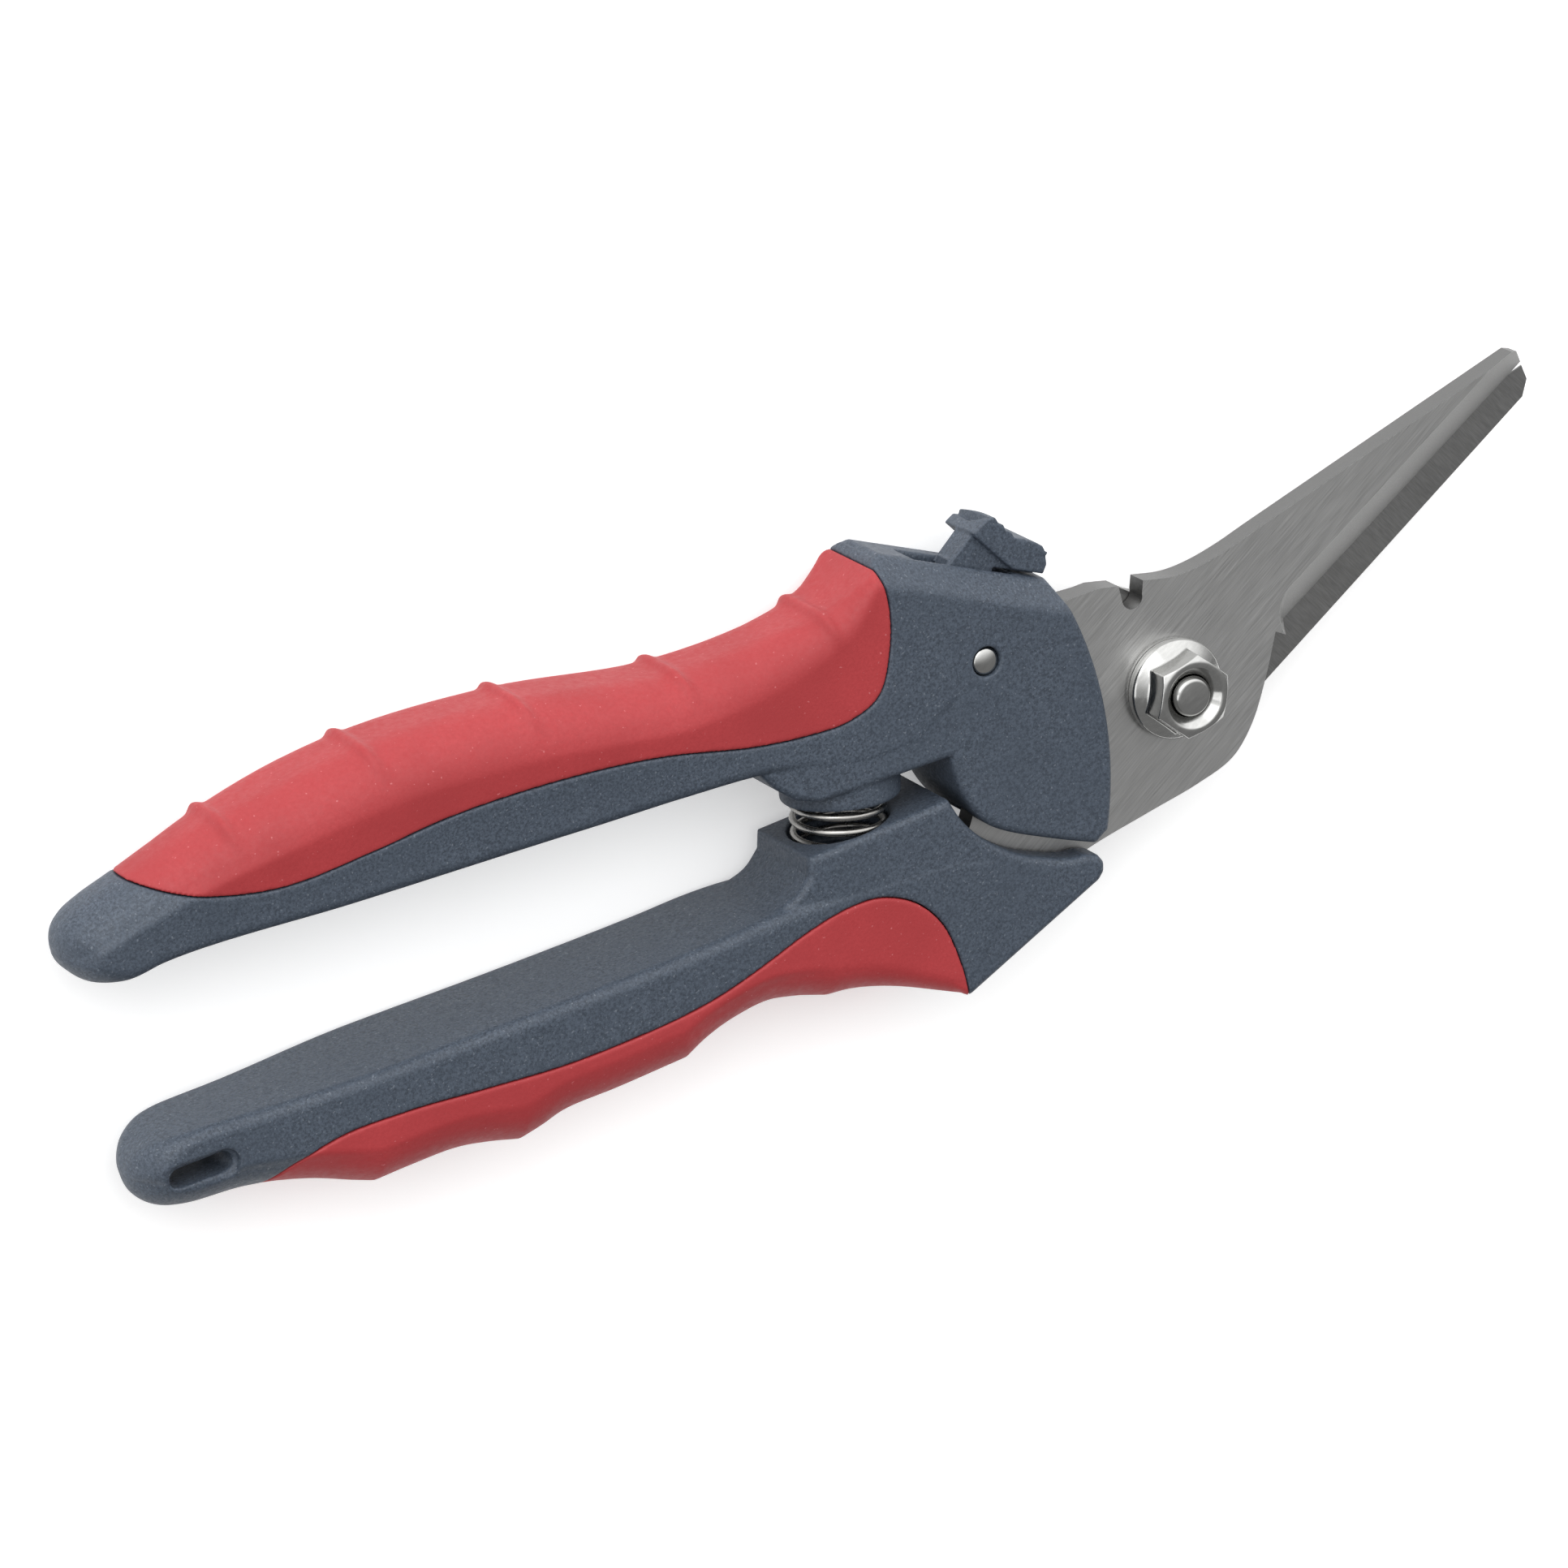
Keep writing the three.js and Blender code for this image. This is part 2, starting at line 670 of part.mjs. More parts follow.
const upperHandle = () => {
  const cup = postAlongY(CUP_X, CUP_R, [CUP_Y, 13]);
  const hollow = postAlongY(SPRING_X, COIL_ROOM, [CUP_Y - 1, SPRING_Y[1] + WIRE_R + RUN]);
  const { grip, core } = ribbed(upperEnvelope(), upperGripArea(), 1);

  // Room for the front blade at every opening, for the lock and for its spring.
  const swing = plate(
    [
      ...arc(PIVOT, SWEEP_R, 60, 160, 20),
      ...line([-33.4, -3], [-38, -14], [-20, -40], [30, -40], [30, 20]),
    ],
    SLOT,
  );
  const lever = leverRoom();
  const room = [FRONT[0] - 0.1, FRONT[1] + 0.1];
  const leafRoom = leaf(-1.1, room).add(leaf(0.5, room));
  const topSlot = plate(
    [onSlope(-5, -3.5), onSlope(8.4, -3.5), onSlope(8.4, 2), onSlope(-5, 2)].map(vec),
    [STEM[0] - RUN, STEM[1] + RUN],
  );
  const pin = post(LOCK_AT, LOCK_PIN_R + FIT, ALL);
  const hollows = [hollow, swing, lever, leafRoom, topSlot, pin, pocket(backBladeOutline(), BACK)];
  const body = hollows.reduce((left, cut) => left.subtract(cut), core.add(cup));
  return { grip: grip.subtract(pocket(backBladeOutline(), BACK)), core: body };
};

const leverRoom = () => {
  const hub = post(LOCK_AT, LOCK_HUB_R + 0.5, SLOT);
  const above = plate(line([-29.9, 15.6], onSlope(-5, 1), onSlope(8.4, 1), [-21, 17]), SLOT);
  const below = plate(line([-30.4, 17], [-32.2, 3.4], [-26, 3], [-22.4, 8], [-22, 17]), SLOT);
  return hub.add(above).add(below);
};

const lowerHandle = () => {
  const { grip, core } = ribbed(lowerEnvelope(), lowerGripArea(), -1);
  const recess = postAlongY(SPRING_X, COIL_ROOM, [SPRING_Y[0] - WIRE_R - RUN, 5]);
  const tang = pocket(frontBladeOutline(), FRONT);
  const ends = [
    ...arc([-131.4, -1.1], HANG_SLOT_R, -90, 90, 8),
    ...arc([-136.8, -0.8], HANG_SLOT_R, 90, 270, 8),
  ];
  const hangSlot = plate(ends, ALL);
  return { grip: grip.subtract(tang), core: core.subtract(recess).subtract(tang).subtract(hangSlot) };
};

// ---------------------------------------------------------------- assembly
const upper = upperHandle();
const lower = lowerHandle();
const pieces = [
  ['upper_handle_core', upper.core, NYLON],
  ['upper_grip', upper.grip, RUBBER],
  ['lower_handle_core', lower.core, NYLON],
  ['lower_grip', lower.grip, RUBBER],
  ['front_blade', frontBlade(), BLADE_STEEL],
  ['back_blade', backBlade(), BLADE_STEEL],
  ['pivot_bolt', pivotBolt(), BRIGHT_STEEL],
  ['pivot_bush', ring(PIVOT, SHANK_R + 0.06, BUSH_R, [FRONT[0] + 0.05, FRONT[1] - 0.15]), BRONZE],
  ['pivot_nut', pivotNut(), BRIGHT_STEEL],
  ['nut_washer', ring(PIVOT, SHANK_R, FLANGE_R - 0.1, [FRONT_FACE, FRONT_FACE + WASHER]), SPRING_STEEL],
  ['bolt_washer', ring(PIVOT, SHANK_R + 0.1, FLANGE_R, [BACK[0] - WASHER - 0.05, BACK[0] - 0.05]), SPRING_STEEL],
  ['lock_lever', lockLever(), NYLON],
  ['lock_pin', lockPin(), BRIGHT_STEEL],
  ['lock_spring', lockSpring(), SPRING_STEEL],
  ['return_spring', returnSpring(), SPRING_STEEL],
];

const snips = new THREE.Group();
for (const [name, body, finish] of pieces) {
  const mesh = new THREE.Mesh(toGeometry(body), finish);
  mesh.name = name;
  snips.add(mesh);
}

const bounds = new THREE.Box3().setFromObject(snips);
const middle = bounds.getCenter(new THREE.Vector3());
snips.children.forEach((mesh) => mesh.geometry.translate(-middle.x, -middle.y, -bounds.min.z));

export default snips;
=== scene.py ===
"""Pruning snips, lying closed on a pale floor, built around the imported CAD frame.

Shapes are written in millimetres in the part's own plan: X along the tool towards the tips, Y towards
the upper handle, Z up through the pivot. to_row brings them into the frame, in metres.
Handles, lock lever and nut are skins of distance fields, which gives them soft moulded and forged edges.
Blades are prisms with ground edges. Bolt, washer and pin are turned profiles. The spring is a wound wire.
The bush, the far washer and the lock's leaf spring keep their CAD shape and get a finish.
"""

import math

import bmesh
import bpy
import numpy as np
import openvdb
from mathutils import Matrix, Vector


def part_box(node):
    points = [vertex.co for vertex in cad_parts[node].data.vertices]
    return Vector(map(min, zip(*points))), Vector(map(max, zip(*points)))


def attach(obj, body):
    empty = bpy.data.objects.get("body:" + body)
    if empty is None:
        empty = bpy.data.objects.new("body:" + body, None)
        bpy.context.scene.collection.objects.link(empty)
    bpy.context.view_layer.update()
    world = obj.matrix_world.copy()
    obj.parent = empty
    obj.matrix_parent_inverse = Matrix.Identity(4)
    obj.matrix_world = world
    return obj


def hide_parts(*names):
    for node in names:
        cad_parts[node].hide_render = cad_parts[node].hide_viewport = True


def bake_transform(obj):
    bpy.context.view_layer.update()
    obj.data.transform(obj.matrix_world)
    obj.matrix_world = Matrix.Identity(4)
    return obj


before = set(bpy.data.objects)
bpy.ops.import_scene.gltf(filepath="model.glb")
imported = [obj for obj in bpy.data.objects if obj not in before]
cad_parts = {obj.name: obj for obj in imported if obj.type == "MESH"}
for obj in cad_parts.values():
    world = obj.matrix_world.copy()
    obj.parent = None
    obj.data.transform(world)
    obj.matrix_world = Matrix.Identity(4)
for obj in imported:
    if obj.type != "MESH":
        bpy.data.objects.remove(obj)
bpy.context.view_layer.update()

# ------------------------------------------------------------------ sizes, in mm
MID = 8.5  # height of the plane where the blades meet
BLADE = 3.0
FRONT = (8.55, 11.55)  # heights of the front blade
BACK = (5.45, 8.45)  # heights of the back blade
HEAD = (1.5, 15.5)  # heights of both handles' heads
SLOT = (8.2, 11.9)  # room for the front blade in the upper head
FIT = 0.15  # gap round a tang, a rib or a pin
THROUGH = (-5.0, 30.0)  # from below the tool to above it, for holes

PIVOT = (-2.4, 2.4)
STUD_R = 2.45
SHANK_R = 3.1
BUSH_R = 4.0
BORE_GAP = 0.06
FLANGE_R = 6.0  # of the nut, and of the bolt's head
NUT_BASE = 12.1
NUT_TOP = 17.0
NUT_FLATS = 8.8  # across the flats
NUT_TURN = 8.0  # degrees
WASHER = 0.45

LOCK_AT = (-26.3, 16.9)  # where the lock lever turns
LOCK_PIN_R = 1.65
LOCK_HUB_R = 3.3
LOCK_TRAVEL = 14.0  # degrees
STEM = (8.0, 11.7)  # heights of the lever's stem
CAP = (5.0, 12.6)  # heights of its thumb piece
SLOPE = -30.3  # direction of the head's sloping top, in degrees
SLOPE_AT = (-26.2, 28.6)  # a point on it
CHAMFER = 3.0  # along both rims of that top

SPRING_AT = (-46.1, 4.7)  # a point on the return spring's axis
SPRING_LEAN = math.radians(12)  # the axis leans this far from the Y axis
SPRING_R = 5.3
WIRE_R = 0.43
SPRING_ENDS = (-5.3, 5.7)  # along the axis, from SPRING_AT
SPRING_TURNS = 6
SPRING_START = 66.0  # degrees
COIL_GAP = 0.3
CUP_OFFSET = 0.45  # of the cup's middle, beside the spring's axis
CUP_R = (7.2, 6.6)  # its half width and half depth
CUP_RIM = 1.4  # height of its rim along the axis
HANG_SLOT_R = (1.2, 1.75)  # through the handle, and the shallow recess round it
SWEEP_R = 23.1  # room round the pivot for the lower head

SKIN = 2.4  # thickness of the soft grips
SEAM = 0.06  # half the gap between a grip and its core
RIDGE_HEIGHT = 0.75
RIDGE_WIDTH = 0.8
UPPER_RIDGES = (-119.6, -101.3, -82.1, -62.7, -43.8)
OUTER_ROUND = 6.5  # corners of the handles' cross-sections
INNER_ROUND = 1.4
HEAD_ROUND = 0.9
HANDLE_STEP = 0.25  # spacing of the handles' sample points

bolt_low, bolt_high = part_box("pivot_bolt")
SHIFT = np.array(((bolt_low + bolt_high) * 500)[:2] + (0.0,)) - np.array(PIVOT + (0.0,))


def to_row(points):
    """Plan millimetres to frame metres."""
    return (np.asarray(points, float) + SHIFT) / 1000


# ------------------------------------------------------------------ outlines
def polar(centre, radius, degrees):
    angle = math.radians(degrees)
    return (centre[0] + radius * math.cos(angle), centre[1] + radius * math.sin(angle))


def on_slope(u, v):
    """Point on the head's sloping top, u along it towards the blades and v out of it."""
    return polar(polar(SLOPE_AT, u, SLOPE), v, SLOPE + 90)


def arc(centre, radius, start, end, count=24):
    return [polar(centre, radius, start + (end - start) * i / count) for i in range(count + 1)]


def curve(points, per=8):
    """A smooth line through the points (a centripetal Catmull-Rom spline)."""
    p = np.array(points, float)
    p = np.vstack([2 * p[0] - p[1], p, 2 * p[-1] - p[-2]])
    out = []
    for a, b, c, d in zip(p, p[1:], p[2:], p[3:]):
        t1, t2, t3 = np.cumsum([np.linalg.norm(q - r) ** 0.5 for q, r in ((b, a), (c, b), (d, c))])
        for t in np.linspace(t1, t2, per, endpoint=False):
            a1 = (t1 - t) / t1 * a + t / t1 * b
            a2 = (t2 - t) / (t2 - t1) * b + (t - t1) / (t2 - t1) * c
            a3 = (t3 - t) / (t3 - t2) * c + (t - t2) / (t3 - t2) * d
            b1 = (t2 - t) / t2 * a1 + t / t2 * a2
            b2 = (t3 - t) / (t3 - t1) * a2 + (t - t1) / (t3 - t1) * a3
            out.append(tuple((t2 - t) / (t2 - t1) * b1 + (t - t1) / (t2 - t1) * b2))
    return out + [tuple(points[-1])]


# ------------------------------------------------------------------ distance fields
class Block:
    """A box of sample points. Its fields are distances, negative inside a solid."""

    def __init__(self, low, high, step):
        self.low = np.array(low, float)
        self.step = step
        axes = [np.arange(a, b + step, step, dtype=np.float32) for a, b in zip(low, high)]
        self.shape = tuple(len(axis) for axis in axes)
        self.x = axes[0][:, None, None]
        self.y = axes[1][None, :, None]
        self.z = axes[2][None, None, :]

    def outline(self, points):
        """Distance in plan to a closed outline."""
        x, y = self.x[:, :, 0], self.y[:, :, 0]
        best = np.full((x.size, y.size), 1e9, np.float32)
        inside = np.zeros(best.shape, bool)
        for (ax, ay), (bx, by) in zip(points, list(points[1:]) + [points[0]]):
            dx, dy = bx - ax, by - ay
            if dx * dx + dy * dy < 1e-9:
                continue
            t = np.clip(((x - ax) * dx + (y - ay) * dy) / (dx * dx + dy * dy), 0, 1)
            best = np.minimum(best, (x - ax - t * dx) ** 2 + (y - ay - t * dy) ** 2)
            if ay != by:
                inside ^= ((ay > y) != (by > y)) & (x < ax + dx * (y - ay) / dy)
        best = np.sqrt(best)
        return np.where(inside, -best, best)[:, :, None]

    def slab(self, plan, heights, radius=0.0):
        """A plan shape between two heights, with its edges rounded."""
        return rounded(plan, np.abs(self.z - sum(heights) / 2) - (heights[1] - heights[0]) / 2, radius)

    def plate(self, points, heights, radius=0.0):
        return self.slab(self.outline(points), heights, radius)

    def upright(self, centre, radius):
        return np.hypot(self.x - centre[0], self.y - centre[1]) - radius

    def beside_spring(self):
        """Distance to the side of the spring's axis, in plan."""
        x, y = self.x - SPRING_AT[0], self.y - SPRING_AT[1]
        return x * math.cos(SPRING_LEAN) - y * math.sin(SPRING_LEAN)

    def along_spring(self):
        """Distance along the spring's axis, from SPRING_AT."""
        x, y = self.x - SPRING_AT[0], self.y - SPRING_AT[1]
        return x * math.sin(SPRING_LEAN) + y * math.cos(SPRING_LEAN)

    def coil_room(self, gap):
        """A cylinder round the spring, that much wider than its coils."""
        return np.hypot(self.beside_spring(), self.z - MID) - SPRING_R - WIRE_R - gap


def rounded(a, b, radius):
    """The overlap of two fields, with the edge between them rounded."""
    a, b = a + radius, b + radius
    return np.minimum(np.maximum(a, b), 0) + np.hypot(np.maximum(a, 0), np.maximum(b, 0)) - radius


def join(a, b, ease=0.0):
    """Union of two fields, with the hollow between them filled by about ease."""
    if ease <= 0:
        return np.minimum(a, b)
    h = np.clip(0.5 + (b - a) / (2 * ease), 0, 1)
    return b + (a - b) * h - ease * h * (1 - h)


def both(a, b, ease=0.0):
    return -join(-a, -b, ease)


def cut(a, b, ease=0.0):
    return -join(-a, b, ease)


def smooth(low, high, value):
    t = np.clip((value - low) / (high - low), 0, 1)
    return t * t * (3 - 2 * t)


# ------------------------------------------------------------------ meshes
def add_piece(name, mesh, body, slot, materials, *replaced):
    piece = bpy.data.objects.new(name, mesh)
    bpy.context.scene.collection.objects.link(piece)
    for material in materials:
        mesh.materials.append(material)
    if body:
        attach(piece, body)
    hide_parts(*replaced)
    return piece


def mesh_of(name, points, faces):
    mesh = bpy.data.meshes.new(name)
    mesh.from_pydata(to_row(points).tolist(), [], faces)
    mesh.shade_smooth()
    return mesh


def sample(field, at):
    """Value and slope of a field at points given in steps, by linear interpolation."""
    base = np.clip(np.floor(at).astype(int), 0, np.array(field.shape) - 2)
    fx, fy, fz = (at - base).T
    i, j, k = base.T
    c = {(a, b, d): field[i + a, j + b, k + d] for a in (0, 1) for b in (0, 1) for d in (0, 1)}
    x = {(b, d): c[0, b, d] * (1 - fx) + c[1, b, d] * fx for b in (0, 1) for d in (0, 1)}
    y = {d: x[0, d] * (1 - fy) + x[1, d] * fy for d in (0, 1)}
    slope_x = sum(
        (c[1, b, d] - c[0, b, d]) * (fy if b else 1 - fy) * (fz if d else 1 - fz)
        for b in (0, 1)
        for d in (0, 1)
    )
    slope_y = sum((x[1, d] - x[0, d]) * (fz if d else 1 - fz) for d in (0, 1))
    return y[0] * (1 - fz) + y[1] * fz, np.stack([slope_x, slope_y, y[1] - y[0]], 1)


def skin(name, block, field):
    """The surface where a field is zero."""
    field = np.array(np.broadcast_to(field, block.shape), np.float32)
    grid = openvdb.FloatGrid(background=3.0)
    grid.copyFromArray(field)
    at, quads = grid.convertToQuads(isovalue=0.0)
    links = np.vstack([quads[:, [i, (i + 1) % 4]] for i in range(4)])
    links = np.vstack([links, links[:, ::-1]])
    count = np.maximum(np.bincount(links[:, 0], minlength=len(at)), 1)[:, None]
    for _ in range(2):
        # ease each point towards its neighbours, then move it back onto the surface
        near = np.stack([np.bincount(links[:, 0], at[links[:, 1], axis], len(at)) for axis in range(3)], 1)
        at = at * 0.5 + near / count * 0.5
        value, slope = sample(field, at)
        step = (value / np.maximum((slope**2).sum(1), 1e-6 + 0.25 * block.step**2))[:, None] * slope
        at = at - np.clip(step, -0.7, 0.7)
    return mesh_of(name, block.low + at * block.step, quads[:, ::-1].tolist())


def turned(name, centre, profile, turns=96):
    """A profile of (radius, height) points turned about an upright axis.

    It either starts and ends on the axis, or is a closed ring clear of it.
    """
    rings = [p for p in profile if p[0] > 1e-6]
    angles = np.arange(turns) * 2 * math.pi / turns
    x, y = centre
    points = [(x + r * math.cos(a), y + r * math.sin(a), z) for r, z in rings for a in angles]
    last = (len(rings) - 1) * turns
    faces = []
    for i in range(turns):
        j = (i + 1) % turns
        faces += [[row + i, row + j, row + turns + j, row + turns + i] for row in range(0, last, turns)]
        if len(rings) < len(profile):
            faces.append([last + turns, j, i])
            faces.append([last + turns + 1, last + i, last + j])
        else:
            faces.append([last + i, last + j, j, i])
    if len(rings) < len(profile):
        points += [(x, y, profile[0][1]), (x, y, profile[-1][1])]
    return mesh_of(name, points, faces)


def eased(profile, radius, per=4):
    """A profile with its corners rounded."""
    out = [profile[0]]
    for a, b, c in zip(profile, profile[1:], profile[2:]):
        a, b, c = (np.array(p, float) for p in (a, b, c))
        back, on = np.linalg.norm(a - b), np.linalg.norm(c - b)
        r = min(radius, back * 0.45, on * 0.45)
        start, end = b + (a - b) / back * r, b + (c - b) / on * r
        for t in np.linspace(0, 1, per + 1):
            out.append(tuple((1 - t) ** 2 * start + 2 * t * (1 - t) * b + t * t * end))
    return out + [profile[-1]]


# ------------------------------------------------------------------ materials
class Finish:
    """A material and short ways to add its nodes. Texture sizes are in millimetres on the object."""

    def __init__(self, name, roughness, metallic=0.0, **fixed):
        self.material = bpy.data.materials.new(name)
        self.material.use_nodes = True
        self.tree = self.material.node_tree
        self.surface = self.tree.nodes["Principled BSDF"]
        self.surface.inputs["Roughness"].default_value = roughness
        self.surface.inputs["Metallic"].default_value = metallic
        for socket, value in fixed.items():
            self.surface.inputs[socket.replace("_", " ")].default_value = value
        self.place = self.tree.nodes.new("ShaderNodeTexCoord").outputs["Object"]

    def node(self, kind, inputs, **settings):
        node = self.tree.nodes.new(kind)
        for key, value in settings.items():
            setattr(node, key, value)
        for key, value in inputs.items():
            if isinstance(value, bpy.types.NodeSocket):
                self.tree.links.new(value, node.inputs[key])
            else:
                node.inputs[key].default_value = value
        return node

    def grain(self, size, detail=3.0, stretch=(1, 1, 1), turn=0.0, seed=0.0, rough=0.55):
        """Noise with features of about the given size, drawn out along X by stretch and turned about Z."""
        turned_place = self.node(
            "ShaderNodeMapping",
            {
                "Vector": self.place,
                "Rotation": (0, 0, math.radians(-turn)),
                "Location": (seed, seed * 0.37, 0),
            },
        ).outputs[0]
        scaled = self.node(
            "ShaderNodeMapping", {"Vector": turned_place, "Scale": tuple(1000 / size / s for s in stretch)}
        ).outputs[0]
        noise = self.node(
            "ShaderNodeTexNoise", {"Vector": scaled, "Scale": 1.0, "Detail": detail, "Roughness": rough}
        )
        return noise.outputs[0]

    def range(self, value, low, high, to_low, to_high):
        return self.node(
            "ShaderNodeMapRange",
            {"Value": value, "From Min": low, "From Max": high, "To Min": to_low, "To Max": to_high},
        ).outputs[0]

    def tint(self, factor, first, second):
        """One colour turning into another. Either may come from another node."""
        mix = self.node("ShaderNodeMix", {}, data_type="RGBA")
        for socket, value in ((mix.inputs[0], factor), (mix.inputs[6], first), (mix.inputs[7], second)):
            if isinstance(value, bpy.types.NodeSocket):
                self.tree.links.new(value, socket)
            else:
                socket.default_value = (*value, 1.0)
        return mix.outputs[2]

    def bump(self, height, depth, below=None):
        """Relief of the given depth in millimetres."""
        inputs = {"Height": height, "Distance": depth / 1000, "Strength": 1.0}
        if below:
            inputs["Normal"] = below
        return self.node("ShaderNodeBump", inputs).outputs[0]

    def finish(self, colour=None, roughness=None, normal=None):
        for socket, value in (("Base Color", colour), ("Roughness", roughness), ("Normal", normal)):
            if value is not None:
                self.tree.links.new(value, self.surface.inputs[socket])
        return self.material


def nylon():
    """Glass-filled slate plastic: matt, finely pitted, with pale flecks."""
    f = Finish("slate_nylon", 0.55, Specular_IOR_Level=0.45)
    speckle = f.range(f.grain(0.32, 3.0, seed=0.3, rough=0.7), 0.36, 0.64, 0.0, 1.0)
    base = f.tint(speckle, (0.025, 0.034, 0.049), (0.071, 0.090, 0.120))
    drift = f.range(f.grain(9.0, 3.0, seed=0.1), 0.35, 0.65, 0.0, 0.35)
    base = f.tint(drift, base, (0.042, 0.056, 0.078))
    flecks = f.range(f.grain(0.36, 1.0, seed=0.9), 0.67, 0.75, 0.0, 0.8)
    colour = f.tint(flecks, base, (0.13, 0.15, 0.18))
    rough = f.range(f.grain(0.6, 3.0, seed=0.7), 0.3, 0.7, 0.48, 0.64)
    pits = f.bump(f.grain(0.35, 3.0, seed=0.5), 0.03)
    return f.finish(colour, rough, pits)


def rubber():
    """Red soft grip: matt, slightly mottled, with a fine spark-eroded texture."""
    f = Finish("red_rubber", 0.6, Specular_IOR_Level=0.45)
    drift = f.range(f.grain(14.0, 3.0, seed=0.2), 0.35, 0.65, 0.0, 1.0)
    base = f.tint(drift, (0.32, 0.026, 0.030), (0.375, 0.033, 0.038))
    mottle = f.range(f.grain(0.4, 3.0, seed=0.5, rough=0.65), 0.35, 0.65, 0.0, 0.5)
    base = f.tint(mottle, base, (0.30, 0.021, 0.025))
    specks = f.range(f.grain(0.45, 1.0, seed=0.9), 0.73, 0.79, 0.0, 0.45)
    colour = f.tint(specks, base, (0.60, 0.20, 0.21))
    rough = f.range(f.grain(0.8, 3.0, seed=0.4), 0.3, 0.7, 0.52, 0.68)
    texture = f.bump(f.grain(0.3, 3.0, seed=0.6), 0.025)
    return f.finish(colour, rough, texture)


def brushed(name, base, turn, roughness, depth=0.006, drawn=40.0, shade=0.12):
    """Ground steel with fine lines along a direction in plan."""
    f = Finish(name, roughness, 1.0)
    lines = f.grain(0.12, 3.0, stretch=(drawn, 1, 1), turn=turn, seed=0.2)
    broad = f.grain(6.0, 2.0, stretch=(3, 1, 1), turn=turn, seed=0.8)
    dark = tuple(c * (1 - shade) for c in base)
    light = tuple(min(1.0, c * (1 + shade)) for c in base)
    colour = f.tint(f.range(lines, 0.3, 0.7, 0.0, 1.0), dark, light)
    colour = f.tint(f.range(broad, 0.35, 0.7, 0.0, 0.25), colour, dark)
    rough = f.range(lines, 0.25, 0.75, roughness - 0.07, roughness + 0.08)
    return f.finish(colour, rough, f.bump(lines, depth))


def polished(name, base, roughness):
    """Plated steel: bright, with faint turning marks and small scratches."""
    f = Finish(name, roughness, 1.0)
    marks = f.grain(0.5, 4.0, stretch=(4, 1, 1), turn=20, seed=0.3)
    colour = f.tint(f.range(marks, 0.35, 0.7, 0.0, 1.0), tuple(c * 0.88 for c in base), base)
    rough = f.range(f.grain(1.2, 4.0, seed=0.6), 0.3, 0.7, roughness * 0.7, roughness * 1.5)
    return f.finish(colour, rough, f.bump(marks, 0.003))


def bronze():
    """Oiled bearing bronze."""
    f = Finish("bronze", 0.4, 1.0)
    pores = f.grain(0.25, 3.0, seed=0.2)
    colour = f.tint(f.range(pores, 0.35, 0.7, 0.0, 1.0), (0.32, 0.19, 0.08), (0.48, 0.30, 0.14))
    return f.finish(colour, f.range(pores, 0.3, 0.7, 0.3, 0.5), f.bump(pores, 0.006))


def floor_finish():
    f = Finish("floor", 0.8, Specular_IOR_Level=0.2, Emission_Color=(1, 1, 1, 1), Emission_Strength=0.35)
    grain = f.grain(30.0, 3.0, seed=0.2)
    colour = f.tint(f.range(grain, 0.3, 0.7, 0.0, 1.0), (0.86, 0.86, 0.86), (0.88, 0.88, 0.88))
    return f.finish(colour)


NYLON = nylon()
RUBBER = rubber()
FACE_STEEL = brushed("blade_steel", (0.53, 0.53, 0.525), 28.0, 0.34)
BEVEL_STEEL = brushed("ground_edge", (0.43, 0.43, 0.425), -62.0, 0.5, depth=0.008, drawn=14.0)
# the back blade: the same ground steel, but with a base colour about half as bright as the front blade's
# face
BACK_STEEL = brushed("back_blade_steel", (0.26, 0.26, 0.257), -60.0, 0.38, depth=0.007, drawn=14.0)
# the blades' side walls: a rough blanked texture, with a dark base colour that is painted shade
SHADED_EDGE_STEEL = brushed("blanked_edge_painted_shade", (0.17, 0.17, 0.168), 0.0, 0.42, depth=0.01, drawn=3.0)
PLATED = polished("plated_steel", (0.5, 0.5, 0.49), 0.14)
WIRE = polished("spring_wire", (0.42, 0.41, 0.39), 0.26)
WASHER_STEEL = polished("washer_steel", (0.55, 0.55, 0.54), 0.3)
BRONZE = bronze()

# ------------------------------------------------------------------ handle outlines
def scallops(*parts):
    """Smooth stretches that meet in soft points."""
    points = curve(parts[0])
    for part in parts[1:]:
        points += curve([points[-1], *part])[1:]
    return points


def edges_of(outline):
    """Cuts an outline that goes round a handle's tail into its two edges, both starting at the tail."""
    tip = min(range(len(outline)), key=lambda i: outline[i][0])
    return outline[tip::-1], outline[tip:]


UPPER_INNER, UPPER_OUTER = edges_of(curve([
    (-37, 10.5), (-44, 11), (-50, 13), (-57.5, 15.5), (-80, 18.5), (-101.9, 21.1), (-120, 23.2), (-131, 24),
    (-136, 23.7), (-139.4, 24.6), (-141, 26.6), (-141.3, 28.6), (-140.6, 30.5), (-138.8, 31.9),
    (-135.8, 32.9), (-132, 33.7), (-120, 36.1), (-101, 37.3), (-82, 34.9), (-63, 30.1), (-50, 29.2),
    (-43.5, 29.5), (-39.5, 30.9), (-35.4, 33.4),
]))
LOWER_INNER, LOWER_OUTER = edges_of(scallops(
    [
        (-36, -4), (-52, -2), (-61, -1), (-72, -0.6), (-90, 0.5), (-107, 1.8), (-123.5, 2.9), (-133.5, 3.8),
        (-137.2, 3.7), (-139.8, 2.7), (-141.2, 0.9), (-141.4, -0.8), (-140.9, -2.7), (-139.3, -4.4),
        (-136.2, -5.6), (-129, -6.7), (-121.7, -8.9), (-116.6, -11.3), (-114.6, -12.2),
    ],
    [(-110.6, -12.2), (-104.4, -12.6), (-100.5, -13.6), (-96.6, -15.0)],
    [(-93.6, -14.6), (-90.4, -14.0), (-83.5, -14.3), (-74.3, -14.5)],
    [(-71.3, -13.3), (-67.8, -12.5), (-63.4, -12.3), (-59.3, -13.3), (-55.3, -14.9)],
    [(-52.2, -15.4), (-47.2, -17.1), (-39.4, -21.1)],
))
